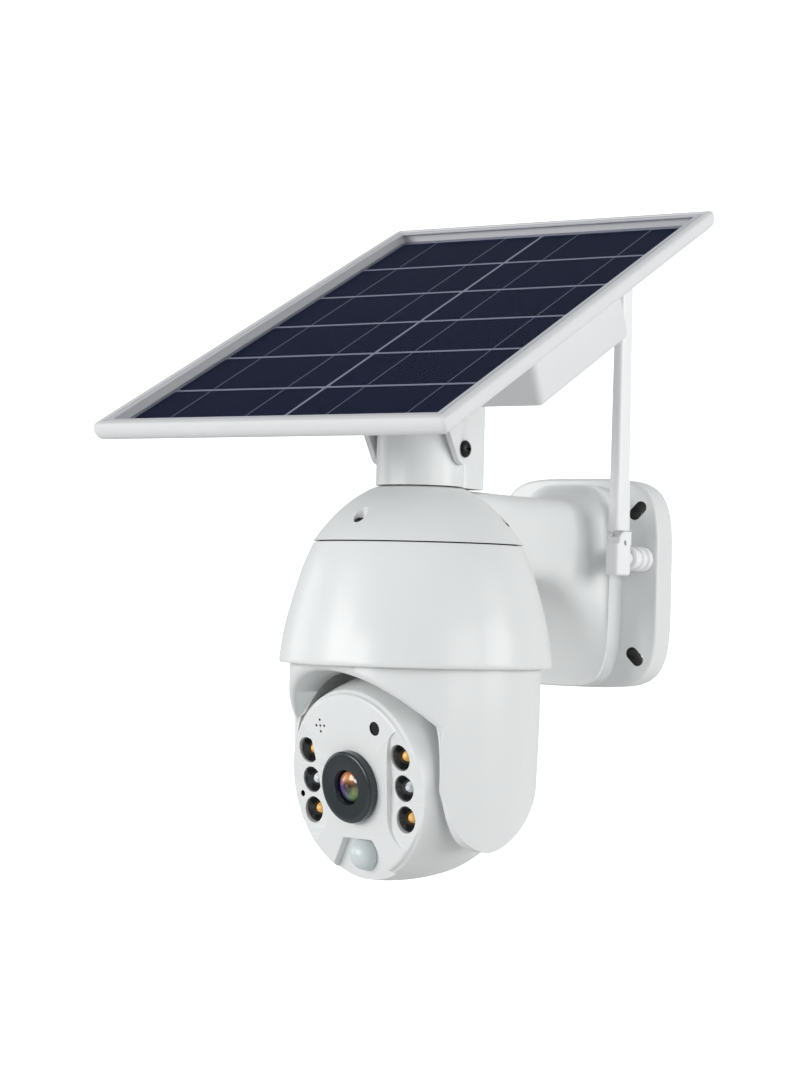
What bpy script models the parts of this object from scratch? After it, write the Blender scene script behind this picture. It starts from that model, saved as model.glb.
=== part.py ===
"""Solar-powered pan and tilt security camera on a wall bracket.

Lengths are millimetres, turned into metres by MM.  The origin is the centre of the wall plate's
back face, +Z is up and +Y points into the wall, so the camera looks along -Y.
"""
import math

import bmesh
import bpy
from mathutils import Matrix, Vector

MM = 0.001
GAP = 0.3            # gap between pieces that touch

# Axes
PAN_Y = -168.0       # vertical pan axis, in front of the wall
PAN_REST = -15.0     # degrees
TILT_Z = -87.4       # height of the head's tilt axis
TILT_REST = 9.15     # degrees, nose down
HINGE_Z = 57.0       # height of the solar panel's hinge
PANEL_REST = 25.5    # degrees, front edge down
ANTENNA = (36.5, -42.0, 12.0)
FOLD_Z = 7.3         # fold pin above the antenna's swivel axis

# Wall bracket
PLATE_W, PLATE_H, PLATE_D = 90.0, 104.0, 16.0
SLOT_X, SLOT_Z, SLOT_W, SLOT_L = 33.5, 36.0, 6.2, 10.6
BOSS_FRONT = -29.0
WALL = 2.5

# Dome and head
SPLIT_Z = 14.5       # line between the cap and the dome shell
RIM_Z = -40.0        # dome shell's lower rim
BALL_R = 47.5
FACE_R = 41.0
FACE_H = 36.5        # face plane in front of the tilt axis
LEDS = [(side * 30.0, height) for side in (-1, 1) for height in (14.0, 0.4, -13.2)]
LED_R = 5.6
LENS_R = 16.0
PIR_Z = -31.3        # motion sensor's dome below the lens
STEP = 2.7           # side areas of the face lie this far behind its middle band

# Solar panel, measured from its hinge: v up the slope, n square to the glass
GLASS_W, GLASS_L = 162.0, 256.0
GLASS_V, GLASS_N = 22.0, 56.4
RAIL = 7.0
CELL_W, CELL_L, CELL_PITCH_U, CELL_PITCH_V = 78.0, 39.0, 79.6, 41.6
BOX_W, BOX_V0, BOX_V1 = 158.0, -21.0, 68.0
BOX_N0, BOX_N1 = 26.4, 50.1
EAR_X, EAR_R = 20.2, 7.0

# Pan gears
MODULE = 1.0
RING_TEETH, PINION_TEETH = 60, 15
GEAR_Z = -14.0
GEAR_H = 5.0


def collection(name):
    group = bpy.data.collections.new(name)
    bpy.context.scene.collection.children.link(group)
    return group


for old in list(bpy.data.objects):
    bpy.data.objects.remove(old, do_unlink=True)
PARTS = collection("solar_security_camera")
CUTTERS = collection("cutters")


def material(name, colour, roughness, metallic=0.0):
    """A Principled material, made once for each name."""
    found = bpy.data.materials.get(name)
    if found:
        return found
    made = bpy.data.materials.new(name)
    made.use_nodes = True
    shader = made.node_tree.nodes["Principled BSDF"]
    shader.inputs["Base Color"].default_value = (*colour, 1.0)
    shader.inputs["Roughness"].default_value = roughness
    shader.inputs["Metallic"].default_value = metallic
    return made


WHITE = material("white_abs", (0.86, 0.87, 0.87), 0.35)
GREY = material("shaded_abs", (0.62, 0.65, 0.65), 0.4)
BLACK = material("black_gloss", (0.02, 0.022, 0.025), 0.15)
RUBBER = material("gasket_rubber", (0.05, 0.05, 0.05), 0.8)
STEEL = material("steel", (0.55, 0.56, 0.58), 0.3, 1.0)
DARK_STEEL = material("black_steel", (0.03, 0.03, 0.03), 0.4, 0.8)
BOARD = material("circuit_board", (0.03, 0.2, 0.08), 0.5)
NYLON = material("gear_nylon", (0.8, 0.78, 0.7), 0.5)
GLASS = material("panel_glass", (0.8, 0.85, 0.9), 0.05)
CELL = material("solar_cell", (0.02, 0.03, 0.12), 0.25)
MILKY = material("milky_lens", (0.75, 0.8, 0.8), 0.3)
CELL_WRAP = material("battery_wrap", (0.1, 0.3, 0.5), 0.4)


def frame(name, place, turn=(0, 0, 0), parent=None):
    """An empty on an axis: what turns about the axis is its child."""
    empty = bpy.data.objects.new(name, None)
    PARTS.objects.link(empty)
    empty.location = Vector(place) * MM
    empty.rotation_euler = [math.radians(angle) for angle in turn]
    empty.parent = parent
    return empty


PAN = frame("pan_axis", (0, PAN_Y, 0), (0, 0, PAN_REST))
TILT = frame("tilt_axis", (0, 0, TILT_Z), (TILT_REST, 0, 0), PAN)
PANEL = frame("panel_axis", (0, PAN_Y, HINGE_Z), (PANEL_REST, 0, 0))
AERIAL = frame("antenna_axis", ANTENNA)
DOME = frame("dome_centre", (0, PAN_Y, 0))


def add(name, bm, look, parent=None, turn=None, place=(0, 0, 0), smooth=30):
    """Link a bmesh (in mm) as an object; look None makes it a cutter."""
    if turn:
        bmesh.ops.transform(bm, matrix=turn, verts=bm.verts)
    bmesh.ops.transform(bm, matrix=Matrix.Scale(MM, 4), verts=bm.verts)
    mesh = bpy.data.meshes.new(name)
    bm.to_mesh(mesh)
    bm.free()
    obj = bpy.data.objects.new(name, mesh)
    obj.location = Vector(place) * MM
    obj.parent = parent
    if look:
        PARTS.objects.link(obj)
        mesh.materials.append(look)
        mesh.shade_smooth()
        mesh.set_sharp_from_angle(angle=math.radians(smooth))
    else:
        CUTTERS.objects.link(obj)
        obj.hide_render = True
        obj.display_type = 'WIRE'
    return obj


def facing(axis):
    """The turn that takes +Z to an axis named X, Y or Z, or -Y for N."""
    turns = {'X': (90, 'Y'), 'Y': (-90, 'X'), 'N': (90, 'X'), 'Z': (0, 'Z')}
    angle, about = turns[axis]
    return Matrix.Rotation(math.radians(angle), 4, about)


def block(name, low, high, look=None, parent=None, bevel=0.0, segments=2):
    """A box between two corners, with rounded edges."""
    bm = bmesh.new()
    bmesh.ops.create_cube(bm, size=1.0)
    low, high = Vector(low), Vector(high)
    size = high - low
    bmesh.ops.scale(bm, vec=size, verts=bm.verts)
    bmesh.ops.translate(bm, vec=(low + high) / 2, verts=bm.verts)
    obj = add(name, bm, look, parent)
    if bevel:
        round_edges(obj, bevel, segments)
    return obj


def rod(name, radius, start, length, axis='Z', look=None, parent=None, sides=24, taper=None):
    """A cylinder (or cone) from start, along an axis."""
    bm = bmesh.new()
    bmesh.ops.create_cone(bm, cap_ends=True, segments=sides, radius1=radius,
                          radius2=radius if taper is None else taper, depth=length)
    bmesh.ops.translate(bm, vec=(0, 0, length / 2), verts=bm.verts)
    bmesh.ops.transform(bm, matrix=Matrix.Translation(start) @ facing(axis), verts=bm.verts)
    return add(name, bm, look, parent)


def turned(name, profile, look=None, parent=None, axis='Z', place=(0, 0, 0), steps=40, ring=False):
    """A profile of (radius, height) points, top to bottom, turned about an axis."""
    bm = bmesh.new()
    points = [bm.verts.new((radius, 0, height)) for radius, height in profile]
    for first, second in zip(points, points[1:]):
        bm.edges.new((first, second))
    if ring:
        bm.edges.new((points[-1], points[0]))
    obj = add(name, bm, look, parent)
    screw = obj.modifiers.new("turn", 'SCREW')
    screw.steps = screw.render_steps = steps
    screw.use_merge_vertices = True
    screw.merge_threshold = 0.00002
    screw.use_smooth_shade = True
    obj.location = Vector(place) * MM
    obj.rotation_euler = facing(axis).to_euler()
    return obj


def slab(name, outline, base, thick, look=None, parent=None, axis='Z', place=(0, 0, 0)):
    """A flat outline thickened upwards from its base height."""
    bm = bmesh.new()
    bm.faces.new([bm.verts.new((x, y, base)) for x, y in outline])
    if axis != 'Z':
        bmesh.ops.transform(bm, matrix=facing(axis), verts=bm.verts)
    obj = add(name, bm, look, parent, place=place)
    solid = obj.modifiers.new("thick", 'SOLIDIFY')
    solid.thickness = thick * MM
    solid.offset = 1.0
    return obj


def loft(name, sections, look=None, parent=None):
    """Rings of equal point counts joined in order, with both ends capped."""
    bm = bmesh.new()
    rings = [[bm.verts.new(point) for point in section] for section in sections]
    count = len(rings[0])
    for lower, upper in zip(rings, rings[1:]):
        for i in range(count):
            j = (i + 1) % count
            bm.faces.new((lower[i], lower[j], upper[j], upper[i]))
    bm.faces.new(rings[0][::-1])
    bm.faces.new(rings[-1])
    bmesh.ops.recalc_face_normals(bm, faces=bm.faces)
    return add(name, bm, look, parent)


def round_edges(obj, width, segments=2, angle=40):
    bevel = obj.modifiers.new("edges", 'BEVEL')
    bevel.width = width * MM
    bevel.segments = segments
    bevel.limit_method = 'ANGLE'
    bevel.angle_limit = math.radians(angle)


def combine(obj, other, operation):
    step = obj.modifiers.new(operation.lower(), 'BOOLEAN')
    step.operation = operation
    step.solver = 'EXACT'
    step.object = other


def cut(obj, *cutters):
    for cutter in cutters:
        combine(obj, cutter, 'DIFFERENCE')


def join(obj, *others):
    for other in others:
        combine(obj, other, 'UNION')


def superellipse(half_x, half_y, power, count=48, centre=(0.0, 0.0)):
    """Points of |x/a|^p + |y/b|^p = 1."""
    points = []
    for i in range(count):
        angle = 2 * math.pi * i / count
        c, s = math.cos(angle), math.sin(angle)
        points.append((centre[0] + half_x * math.copysign(abs(c) ** (2 / power), c),
                       centre[1] + half_y * math.copysign(abs(s) ** (2 / power), s)))
    return points


def rounded_box(x0, x1, y0, y1, radius, count=5):
    """A rectangle with round corners."""
    points = []
    corners = ((x1 - radius, y1 - radius, 0), (x0 + radius, y1 - radius, 90),
               (x0 + radius, y0 + radius, 180), (x1 - radius, y0 + radius, 270))
    for x, y, start in corners:
        for i in range(count):
            angle = math.radians(start + 90 * i / (count - 1))
            points.append((x + radius * math.cos(angle), y + radius * math.sin(angle)))
    return points


def oblong(x, y, length, width, angle):
    """A slot with round ends, turned by an angle."""
    points = []
    reach = (length - width) / 2
    for end, start in ((1, -90), (-1, 90)):
        for i in range(5):
            turn = math.radians(start + 45 * i)
            px = end * reach + width / 2 * math.cos(turn)
            py = width / 2 * math.sin(turn)
            lean = math.radians(angle)
            points.append((x + px * math.cos(lean) - py * math.sin(lean),
                           y + px * math.sin(lean) + py * math.cos(lean)))
    return points


# ---------------------------------------------------------------- wall bracket
CAP = [(0, 40.0), (19.9, 39.8), (24.2, 37.6), (30.3, 33.5), (36.9, 27.7), (42.7, 21.1), (47.4, 14.8)]
CAP_IN = [(0, 37.3), (15.2, 37.2), (21.6, 35.2), (28.8, 31.2), (35.0, 25.8), (40.4, 19.6), (44.9, 14.8)]


def flare(y, start, end):
    """0 at start, rising as a concave quarter circle to 1 at end."""
    along = min(max((y - start) / (end - start), 0.0), 1.0)
    return 1 - math.sqrt(1 - along * along)


def arm_section(y, inset=0.0):
    """Rounded section of the hollow arm, which flares into the boss."""
    width = 20.0 + 5.0 * flare(y, BOSS_FRONT - 18, BOSS_FRONT) - inset
    top = 39.8 + 5.7 * flare(y, BOSS_FRONT - 40, BOSS_FRONT) - inset
    low = -1.0 - 46.0 * flare(y, BOSS_FRONT - 48, BOSS_FRONT) + inset
    if y < PAN_Y + 51:
        low = 17.5 + inset
    elif y < PAN_Y + 56:
        low = 4.0 + inset
    points = superellipse(width, (top - low) / 2, 3.2, 24)
    return [(x, y, (top + low) / 2 + z) for x, z in points]


def boss_section(y, inset=0.0):
    """The boss between arm and plate; its lower end runs back to the plate."""
    back = min(max((y - BOSS_FRONT) / (-PLATE_D - BOSS_FRONT), 0.0), 1.0)
    low = -51.5 + 26.0 * (1 - math.sqrt(max(1 - (1 - back) ** 2, 0.0))) + inset
    high = 48.5 - inset
    points = superellipse(25.3 - inset, (high - low) / 2, 4.2, 24)
    return [(x, y, (high + low) / 2 + z) for x, z in points]


bracket = turned("wall_bracket", CAP + [(0, 14.8)], WHITE, DOME, steps=36)
arm_stops = [PAN_Y + 8, PAN_Y + 49, PAN_Y + 53, PAN_Y + 58, -76, -62, -52, -44, -37, -32, -29.3, -27]
join(bracket,
     slab("post_foot", rounded_box(-19.5, 19.5, -19.5, 37.5, 14), 30.0, 9.7, None, DOME),
     loft("arm_body", [arm_section(y) for y in arm_stops]),
     loft("boss_body", [boss_section(y) for y in (-29, -28, -26, -23, -19, -PLATE_D, -12)]),
     slab("plate_body", superellipse(PLATE_W / 2, PLATE_H / 2, 4.6, 40), 0.0, PLATE_D, None, None, 'N'))
cut(bracket,
    turned("cap_hollow", CAP_IN + [(44.9, 8), (0, 8)], None, DOME, steps=36),
    loft("arm_hollow", [arm_section(y, WALL) for y in [PAN_Y + 20] + arm_stops[1:]]),
    loft("boss_hollow", [boss_section(y, WALL + 1.5) for y in (-27.5, -24, -20, -17, -8)]),
    slab("plate_hollow", superellipse(PLATE_W / 2 - WALL, PLATE_H / 2 - WALL, 4.6, 40), -1.0, PLATE_D - 1.5,
         None, None, 'N'))
SLOTS = [(sx * SLOT_X, sz * SLOT_Z, 45 * sx * sz) for sx in (-1, 1) for sz in (-1, 1)]
for i, (x, z, lean) in enumerate(SLOTS):
    join(bracket, slab(f"slot_wall_{i}", oblong(x, z, SLOT_L + 4, SLOT_W + 4, lean), 3.2, PLATE_D - 4.2,
                       None, None, 'N'))
for i, (x, z, lean) in enumerate(SLOTS):
    cut(bracket, slab(f"slot_{i}", oblong(x, z, SLOT_L, SLOT_W, lean), -2.0, PLATE_D + 4, None, None, 'N'))
cut(bracket, rod("antenna_hole", 3.4, (ANTENNA[0], -20, ANTENNA[2]), 12, 'Y'))

SCREWS = [math.radians(-90 - 10 + turn) for turn in (0, 120, -120)]
for i, turn in enumerate(SCREWS):
    x, y = 38.2 * math.cos(turn), PAN_Y + 38.2 * math.sin(turn)
    cut(bracket, rod(f"screw_sink_{i}", 3.3, (x, y, 22.5), 20))
    cut(bracket, rod(f"screw_bore_{i}", 1.8, (x, y, 12), 14))
    screw = turned(f"cap_screw_{i + 1}", [(0, 24.8), (2.9, 24.8), (2.9, 22.9), (1.4, 22.7), (1.4, 16.4), (0, 16.4)],
                   DARK_STEEL, None, 'Z', (x, y, 0), 16)

cover = slab("bracket_back_cover", superellipse(PLATE_W / 2 - WALL - GAP, PLATE_H / 2 - WALL - GAP, 4.6, 40),
             0.0, 2.5, WHITE, None, 'N')
for i, (x, z, lean) in enumerate(SLOTS):
    cut(cover, slab(f"cover_slot_{i}", oblong(x, z, SLOT_L, SLOT_W, lean), -2.0, 8.0, None, None, 'N'))

# ---------------------------------------------------------------- dome
DOME_OUT = [(47.4, 14.2), (51.8, 3.0), (56.0, -11.0), (59.3, -24.3), (61.3, -37.5), (61.3, RIM_Z)]
DOME_IN = [(58.4, RIM_Z), (58.6, -36.5), (56.8, -23.5), (53.5, -10.4), (49.3, 3.2), (45.0, 13.4), (45.0, 14.2)]
turned("dome_shell", DOME_OUT + DOME_IN, WHITE, DOME, steps=44, ring=True)
turned("dome_gasket", [(44.2, 15.1), (44.2, 12.0), (42.6, 12.0), (42.6, 15.1)], RUBBER, DOME, steps=32, ring=True)

post = rod("panel_post", 19.8, (0, 0, 40 + GAP), 29.4, 'Z', WHITE, DOME, 40)
join(post, slab("post_spine", rounded_box(-15, 15, 9, 38, 6), 40 + GAP, 41.7, None, DOME))
cut(post,
    rod("post_hollow", 16.6, (0, 0, 35), 32, 'Z', None, DOME, 32),
    slab("spine_hollow", rounded_box(-12.2, 12.2, 8, 35.2, 4), 35, 44.5, None, DOME),
    rod("hinge_bore", 2.2, (-30, 0, HINGE_Z), 60, 'X', None, DOME, 16))

chassis = turned("pan_chassis", [(54.6, -17.0), (54.6, -20.0), (10.0, -20.0), (10.0, -17.0)], NYLON, DOME, ring=True)
MOTOR_X = (RING_TEETH + PINION_TEETH) * MODULE / 2
MOTOR_C = MOTOR_X - 8.0
for i, side in enumerate((-1, 1)):
    join(chassis, rod(f"motor_pillar_{i}", 2.6, (MOTOR_C, side * 17.5, -18), 12 - GAP, 'Z', None, DOME, 12))
motor = rod("pan_motor", 14.0, (MOTOR_C, 0, -6 + 0.9), 16.5, 'Z', STEEL, DOME, 28)
join(motor,
     slab("motor_ears", rounded_box(MOTOR_C - 3.5, MOTOR_C + 3.5, -21, 21, 3.4), -6, 1.0, None, DOME),
     rod("motor_boss", 4.5, (MOTOR_X, 0, -7.5), 4, 'Z', None, DOME, 16))
main_board = slab("main_board", superellipse(35, 35, 2, 40), 17.4, 1.6, BOARD, DOME)
join(main_board,
     block("processor", (-9, -26, 18.5), (9, -8, 20.6), None, DOME),
     block("radio_can", (10, 4, 18.5), (26, 18, 21.4), None, DOME),
     block("power_choke", (-26, 2, 18.5), (-14, 14, 23.5), None, DOME))


def gear_outline(teeth, phase):
    """Teeth of half-pitch width less backlash, on the pitch radius."""
    pitch = teeth * MODULE / 2
    points = []
    for tooth in range(teeth):
        middle = 2 * math.pi * (tooth + phase) / teeth
        for radius, share in ((pitch - 1.25, -0.30), (pitch + 0.9, -0.13), (pitch + 0.9, 0.13), (pitch - 1.25, 0.30)):
            angle = middle + 2 * math.pi * share / teeth
            points.append((radius * math.cos(angle), radius * math.sin(angle)))
    return points


RING_PHASE = -PAN_REST / 360 * RING_TEETH % 1.0
pan_gear = slab("pan_gear", gear_outline(RING_TEETH, RING_PHASE), GEAR_Z, GEAR_H, NYLON, PAN)
cut(pan_gear, rod("gear_bore", 8.3 + GAP, (0, 0, GEAR_Z - 5), 20, 'Z', None, PAN, 32))
pinion = slab("pan_pinion", gear_outline(PINION_TEETH, 0.0 if PINION_TEETH % 2 else 0.5), GEAR_Z, GEAR_H, NYLON,
              DOME, 'Z', (MOTOR_X, 0, 0))

# ---------------------------------------------------------------- yoke, in the pan frame
YOKE = [(0, -27.0), (55.4, -27.0), (56.4, -40.5), (56.4, -60.0), (55.6, -90.0), (54.4, -125.0), (0, -125.0)]
yoke = turned("yoke", YOKE, WHITE, PAN, steps=48)
FRONT = -28.8
LOWER = [(-29.5, -1.0), (-28.8, -5), (-26.9, -10), (-23.8, -18), (-18.9, -25.5), (-12.8, -30), (-4.4, -32),
         (7.2, -28), (21.6, -19), (42, -3), (64, 9), (64, -60), (-64, -60), (-64, -1.0)]
ARCH_R, ARCH_Z = 57.0, -12.0
arch = [(x, ARCH_Z + math.sqrt(ARCH_R ** 2 - x * x) + TILT_Z) for x in range(-56, 57, 7)]
arch = [(-70, -140), (-70, arch[0][1])] + arch + [(70, arch[-1][1]), (70, -140)]
# The room in front takes what the head sweeps as it tilts; the one behind takes only its ball
ROOM = [(0, 48.8), (14.0, 48.6), (21.0, 48.2), (26.0, 47.6), (29.5, 46.9), (33.0, 46.0), (36.5, 44.3)]
ROOM += [(math.sqrt(55.8 ** 2 - x * x), x) for x in (41.0, 37.0, 32.0, 26.0, 19.0, 11.0, 4.0)]
front_room = turned("front_room", ROOM + [(r, -x) for r, x in reversed(ROOM)], None, PAN, 'X', (0, 0, TILT_Z), 48)
combine(front_room, block("back_half", (-60, 0.0, TILT_Z - 2), (60, 70, 10), None, PAN), 'DIFFERENCE')
combine(front_room, block("back_end", (-60, 24.0, -160), (60, 70, 10), None, PAN), 'DIFFERENCE')
BALL_ROOM = [(0, 48.6)] + [(math.sqrt(49.4 ** 2 - x * x), x) for x in (48.2, 46, 42, 36, 28, 18, 7)]
rear_room = turned("rear_room", BALL_ROOM + [(r, -x) for r, x in reversed(BALL_ROOM)], None, PAN, 'X',
                   (0, 0, TILT_Z), 48)
cut(yoke, front_room, rear_room, slab("arch_front", arch[::-1], -FRONT, 60, None, PAN, 'N'))
lower = loft("under_yoke", [[(x, y, z + TILT_Z) for y, z in LOWER] for x in (-70, 70)], None, PAN)
cut(yoke, lower,
    rod("shaft_socket", 3.3, (47, 0, TILT_Z), 5.5, 'X', None, PAN, 16))
join(yoke,
     rod("pan_hub", 9.7, (0, 0, -28), 14 - GAP, 'Z', None, PAN, 32),
     rod("gear_seat", 8.3, (0, 0, -16), 8, 'Z', None, PAN, 32),
     rod("pivot_peg", 4.7, (-51, 0, TILT_Z), 7.5, 'X', None, PAN, 20))
cut(yoke, rod("cable_way", 5.5, (0, 0, -45), 50, 'Z', None, PAN, 20))
rod("tilt_shaft", 3.0, (38.5, 0, TILT_Z), 13.2, 'X', STEEL, PAN, 16)

# ---------------------------------------------------------------- camera head, in the tilt frame


def ball_radius(h):
    """Outer radius of the head at a distance in front of the tilt axis."""
    if h <= 0:
        return math.sqrt(max(BALL_R ** 2 - h * h, 0.0))
    return BALL_R - (BALL_R - FACE_R - 0.6) * (h / FACE_H) ** 2


SEAM = -9.0
front_out = [(FACE_R - 1.2, FACE_H), (FACE_R, FACE_H - 1.0)]
front_out += [(ball_radius(h), h) for h in (32, 25, 16, 8, 0, -5, SEAM)]
front_in = [(ball_radius(h) - 2.3, h) for h in (SEAM, -4, 4, 12, 20, 27, 31.0)]
face = turned("face_shell", [(0, FACE_H)] + front_out + front_in + [(0, 31.0)], WHITE, TILT, 'N', steps=40)
STEP_LINE = [(31.9, 26.5), (25.2, 20.4), (22.1, 1.1), (20.6, -16.6), (25.9, -24.4)]
for side, tag in ((1, "right"), (-1, "left")):
    outline = [(side * 60, 40)] + [(side * x, z) for x, z in STEP_LINE] + [(side * 60, -38)]
    cut(face, slab(f"side_area_{tag}", outline[::side], FACE_H - STEP, 10, None, TILT, 'N'))
NOTCH = [(-9.5, -23.6), (9.5, -23.6), (24, -46), (-24, -46)]
cut(face,
    slab("notch", NOTCH[::-1], FACE_H - 4.0, 12, None, TILT, 'N'),
    rod("lens_hole", 13.0, (0, -25, 0), 30, 'N', None, TILT, 32),
    rod("pir_hole", 6.5, (0, -25, PIR_Z), 30, 'N', None, TILT, 24),
    rod("sensor_hole", 3.1, (17.5, -25, 26.4), 30, 'N', None, TILT, 16),
    rod("mic_hole", 1.4, (-37.2, -25, -6.4), 30, 'N', None, TILT, 12),
    rod("peg_hole", 5.0, (-60, 0, 0), 40, 'X', None, TILT, 20),
    rod("shaft_hole", 4.0, (20, 0, 0), 40, 'X', None, TILT, 16))
for i, (x, z) in enumerate(LEDS):
    cut(face, rod(f"led_hole_{i}", LED_R + GAP, (x, -20, z), 30, 'N', None, TILT, 20))
for i, (x, z) in enumerate(((0, 0), (2.6, 0), (-2.6, 0), (0, 2.6), (0, -2.6))):
    cut(face, rod(f"sound_hole_{i}", 0.6, (-18 + x, -25, 26 + z), 30, 'N', None, TILT, 8))

rear_out = [(ball_radius(h), h) for h in (SEAM - GAP, -16, -24, -32, -39, -44.5)] + [(0, -BALL_R)]
rear_in = [(0, -BALL_R + 2.3)] + [(ball_radius(h) * 0.95, h * 0.95) for h in (-44.5, -39, -32, -24, -16)]
turned("rear_shell", rear_out + rear_in + [(ball_radius(SEAM) - 2.3, SEAM - GAP)], WHITE, TILT, 'N', steps=36,
       ring=True)

turned("lens_ring", [(13.4, 41.2), (15.3, 40.9), (LENS_R, 40.2), (LENS_R, FACE_H + GAP), (7.6, FACE_H + GAP),
                     (7.6, 39.4)], BLACK, TILT, 'N', steps=36, ring=True)
turned("lens_barrel", [(0, 36.2), (6.2, 36.2), (6.4, 37.2), (7.3, 37.2), (7.3, 22.0), (9.0, 22.0), (9.0, 18.4),
                       (0, 18.4)], BLACK, TILT, 'N', steps=32)
turned("lens_glass", [(0, 40.2), (2.6, 39.9), (4.8, 39.1), (6.6, 37.8), (7.2, 37.5), (5.9, 37.5), (5.9, 36.5), (0, 36.5)], GLASS, TILT, 'N',
       steps=32)
for i, (x, z) in enumerate(LEDS):
    front = FACE_H - STEP - 0.4
    turned(f"led_{i + 1}", [(0, front - 2.2), (1.1, front - 2.6), (1.6, front - 3.6), (2.2, front - 4.4),
                            (4.9, front - 0.4), (LED_R, front), (LED_R, 26.8), (0, 26.8)],
           BLACK, TILT, 'N', (x, 0, z), 16)
led_board = slab("led_board", superellipse(38.0, 38.0, 2, 40), 24.8, 1.6, BOARD, TILT, 'N')
cut(led_board, rod("led_board_hole", 15.0, (0, -20, 0), 10, 'N', None, TILT, 24),
    rod("board_pir_hole", 6.8, (0, -20, PIR_Z), 10, 'N', None, TILT, 20))
camera_board = block("camera_board", (-15, -18.1, -15), (15, -16.5, 15), BOARD, TILT)
join(camera_board, block("image_sensor", (-6, -17, -6), (6, -14.6, 6), None, TILT))
turned("pir_dome", [(0, 39.7), (2.6, 39.3), (5.0, 37.9), (6.8, 35.8), (7.3, 33.6), (7.3, 32.5 + GAP), (6.2, 32.5 + GAP),
                    (6.2, 27.0), (0, 27.0)], MILKY, TILT, 'N', (0, 0, PIR_Z), 24)
rod("sensor_window", 2.8, (17.5, -27, 26.4), 9.0, 'N', BLACK, TILT, 16)
rod("speaker", 6.6, (-18, -26.8, 26), 3.8, 'N', DARK_STEEL, TILT, 20)
tilt_motor = rod("tilt_motor", 14.0, (19.5, 0, 0), 18.4, 'X', STEEL, TILT, 32)

# ---------------------------------------------------------------- solar panel, in the panel frame
HALF_W, HALF_L = GLASS_W / 2, GLASS_L / 2
rails = slab("panel_frame", rounded_box(-HALF_W - RAIL, HALF_W + RAIL, GLASS_V - HALF_L - RAIL,
                                        GLASS_V + HALF_L + RAIL, 2.0), GLASS_N - 6.7, 8.2, WHITE, PANEL)
round_edges(rails, 1.6, 3, 60)
cut(rails,
    slab("glass_window", rounded_box(-HALF_W, HALF_W, GLASS_V - HALF_L, GLASS_V + HALF_L, 1.0), GLASS_N - 20, 40,
         None, PANEL),
    slab("glass_rebate", rounded_box(-HALF_W - 2.2, HALF_W + 2.2, GLASS_V - HALF_L - 2.2, GLASS_V + HALF_L + 2.2,
                                     2.0), GLASS_N - 20, 20.3, None, PANEL))
slab("panel_glass", rounded_box(-HALF_W - 1.8, HALF_W + 1.8, GLASS_V - HALF_L - 1.8, GLASS_V + HALF_L + 1.8, 1.6),
     GLASS_N - 2.8, 2.8, GLASS, PANEL)
slab("panel_back", rounded_box(-HALF_W - 1.8, HALF_W + 1.8, GLASS_V - HALF_L - 1.8, GLASS_V + HALF_L + 1.8, 1.6),
     GLASS_N - 6.3, 2.5, WHITE, PANEL)
for row in range(6):
    for column in range(2):
        u = (column - 0.5) * CELL_PITCH_U
        v = GLASS_V + (row - 2.5) * CELL_PITCH_V
        block(f"solar_cell_{2 * row + column + 1}", (u - CELL_W / 2, v - CELL_L / 2, GLASS_N - 3.45),
              (u + CELL_W / 2, v + CELL_L / 2, GLASS_N - 3.15), CELL, PANEL)

case = slab("battery_box", rounded_box(-BOX_W / 2, BOX_W / 2, BOX_V0, BOX_V1, 3.5), BOX_N0 + 4.5,
            BOX_N1 - BOX_N0 - 4.8, WHITE, PANEL)
cut(case, slab("battery_room", rounded_box(-BOX_W / 2 + 2.2, BOX_W / 2 - 2.2, BOX_V0 + 2.2, BOX_V1 - 2.2, 2),
               BOX_N0 - 10, 60, None, PANEL))
lid = slab("battery_cover", rounded_box(-BOX_W / 2, BOX_W / 2, BOX_V0, BOX_V1, 3.5), BOX_N0, 4.2, WHITE, PANEL)
round_edges(lid, 2.4, 2, 60)
cut(lid, slab("cover_room", rounded_box(-BOX_W / 2 + 2.8, BOX_W / 2 - 2.8, BOX_V0 + 2.8, BOX_V1 - 2.8, 2),
              BOX_N0 + 1.8, 10, None, PANEL))
for i in range(3):
    rod(f"battery_cell_{i + 1}", 9.2, (-32.6, i * 19.0 - 6.0, BOX_N0 + 11.6), 65.2, 'X', CELL_WRAP, PANEL, 24)
charge_board = block("charge_board", (-32, 47, BOX_N0 + 3), (32, 62, BOX_N0 + 4.6), BOARD, PANEL)
join(charge_board, block("charge_coil", (-8, 50, BOX_N0 + 4), (4, 60, BOX_N0 + 9), None, PANEL))

base_n = BOX_N0 - GAP
hanger = slab("panel_bracket", rounded_box(-23, 23, -15, 15, 3), base_n - 2.0, 2.0, WHITE, PANEL)
for side in (-1, 1):
    ear = [(-11, base_n - 1), (11, base_n - 1)]
    ear += [(EAR_R * math.cos(math.radians(a)), EAR_R * math.sin(math.radians(a))) for a in range(0, -181, -20)]
    inner = side * EAR_X
    outer = side * (EAR_X + 2.6)
    join(hanger, loft(f"ear_{side}", [[(x, y, z) for y, z in ear] for x in (inner, outer)], None, PANEL))
cut(hanger, rod("ear_bore", 2.3, (-40, 0, 0), 80, 'X', None, PANEL, 16))
HEAD = EAR_X + 2.6 + GAP
for side, tag in ((-1, "left"), (1, "right")):
    profile = [(0, HEAD + 2.2), (2.6, HEAD + 2.2), (3.9, HEAD + 1.2), (3.9, HEAD), (1.9, HEAD), (1.9, 15.0), (0, 15.0)]
    screw = turned(f"hinge_screw_{tag}", profile, DARK_STEEL, PANEL, 'X', steps=20)
    if side < 0:
        screw.rotation_euler = (0, math.radians(-90), 0)

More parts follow.
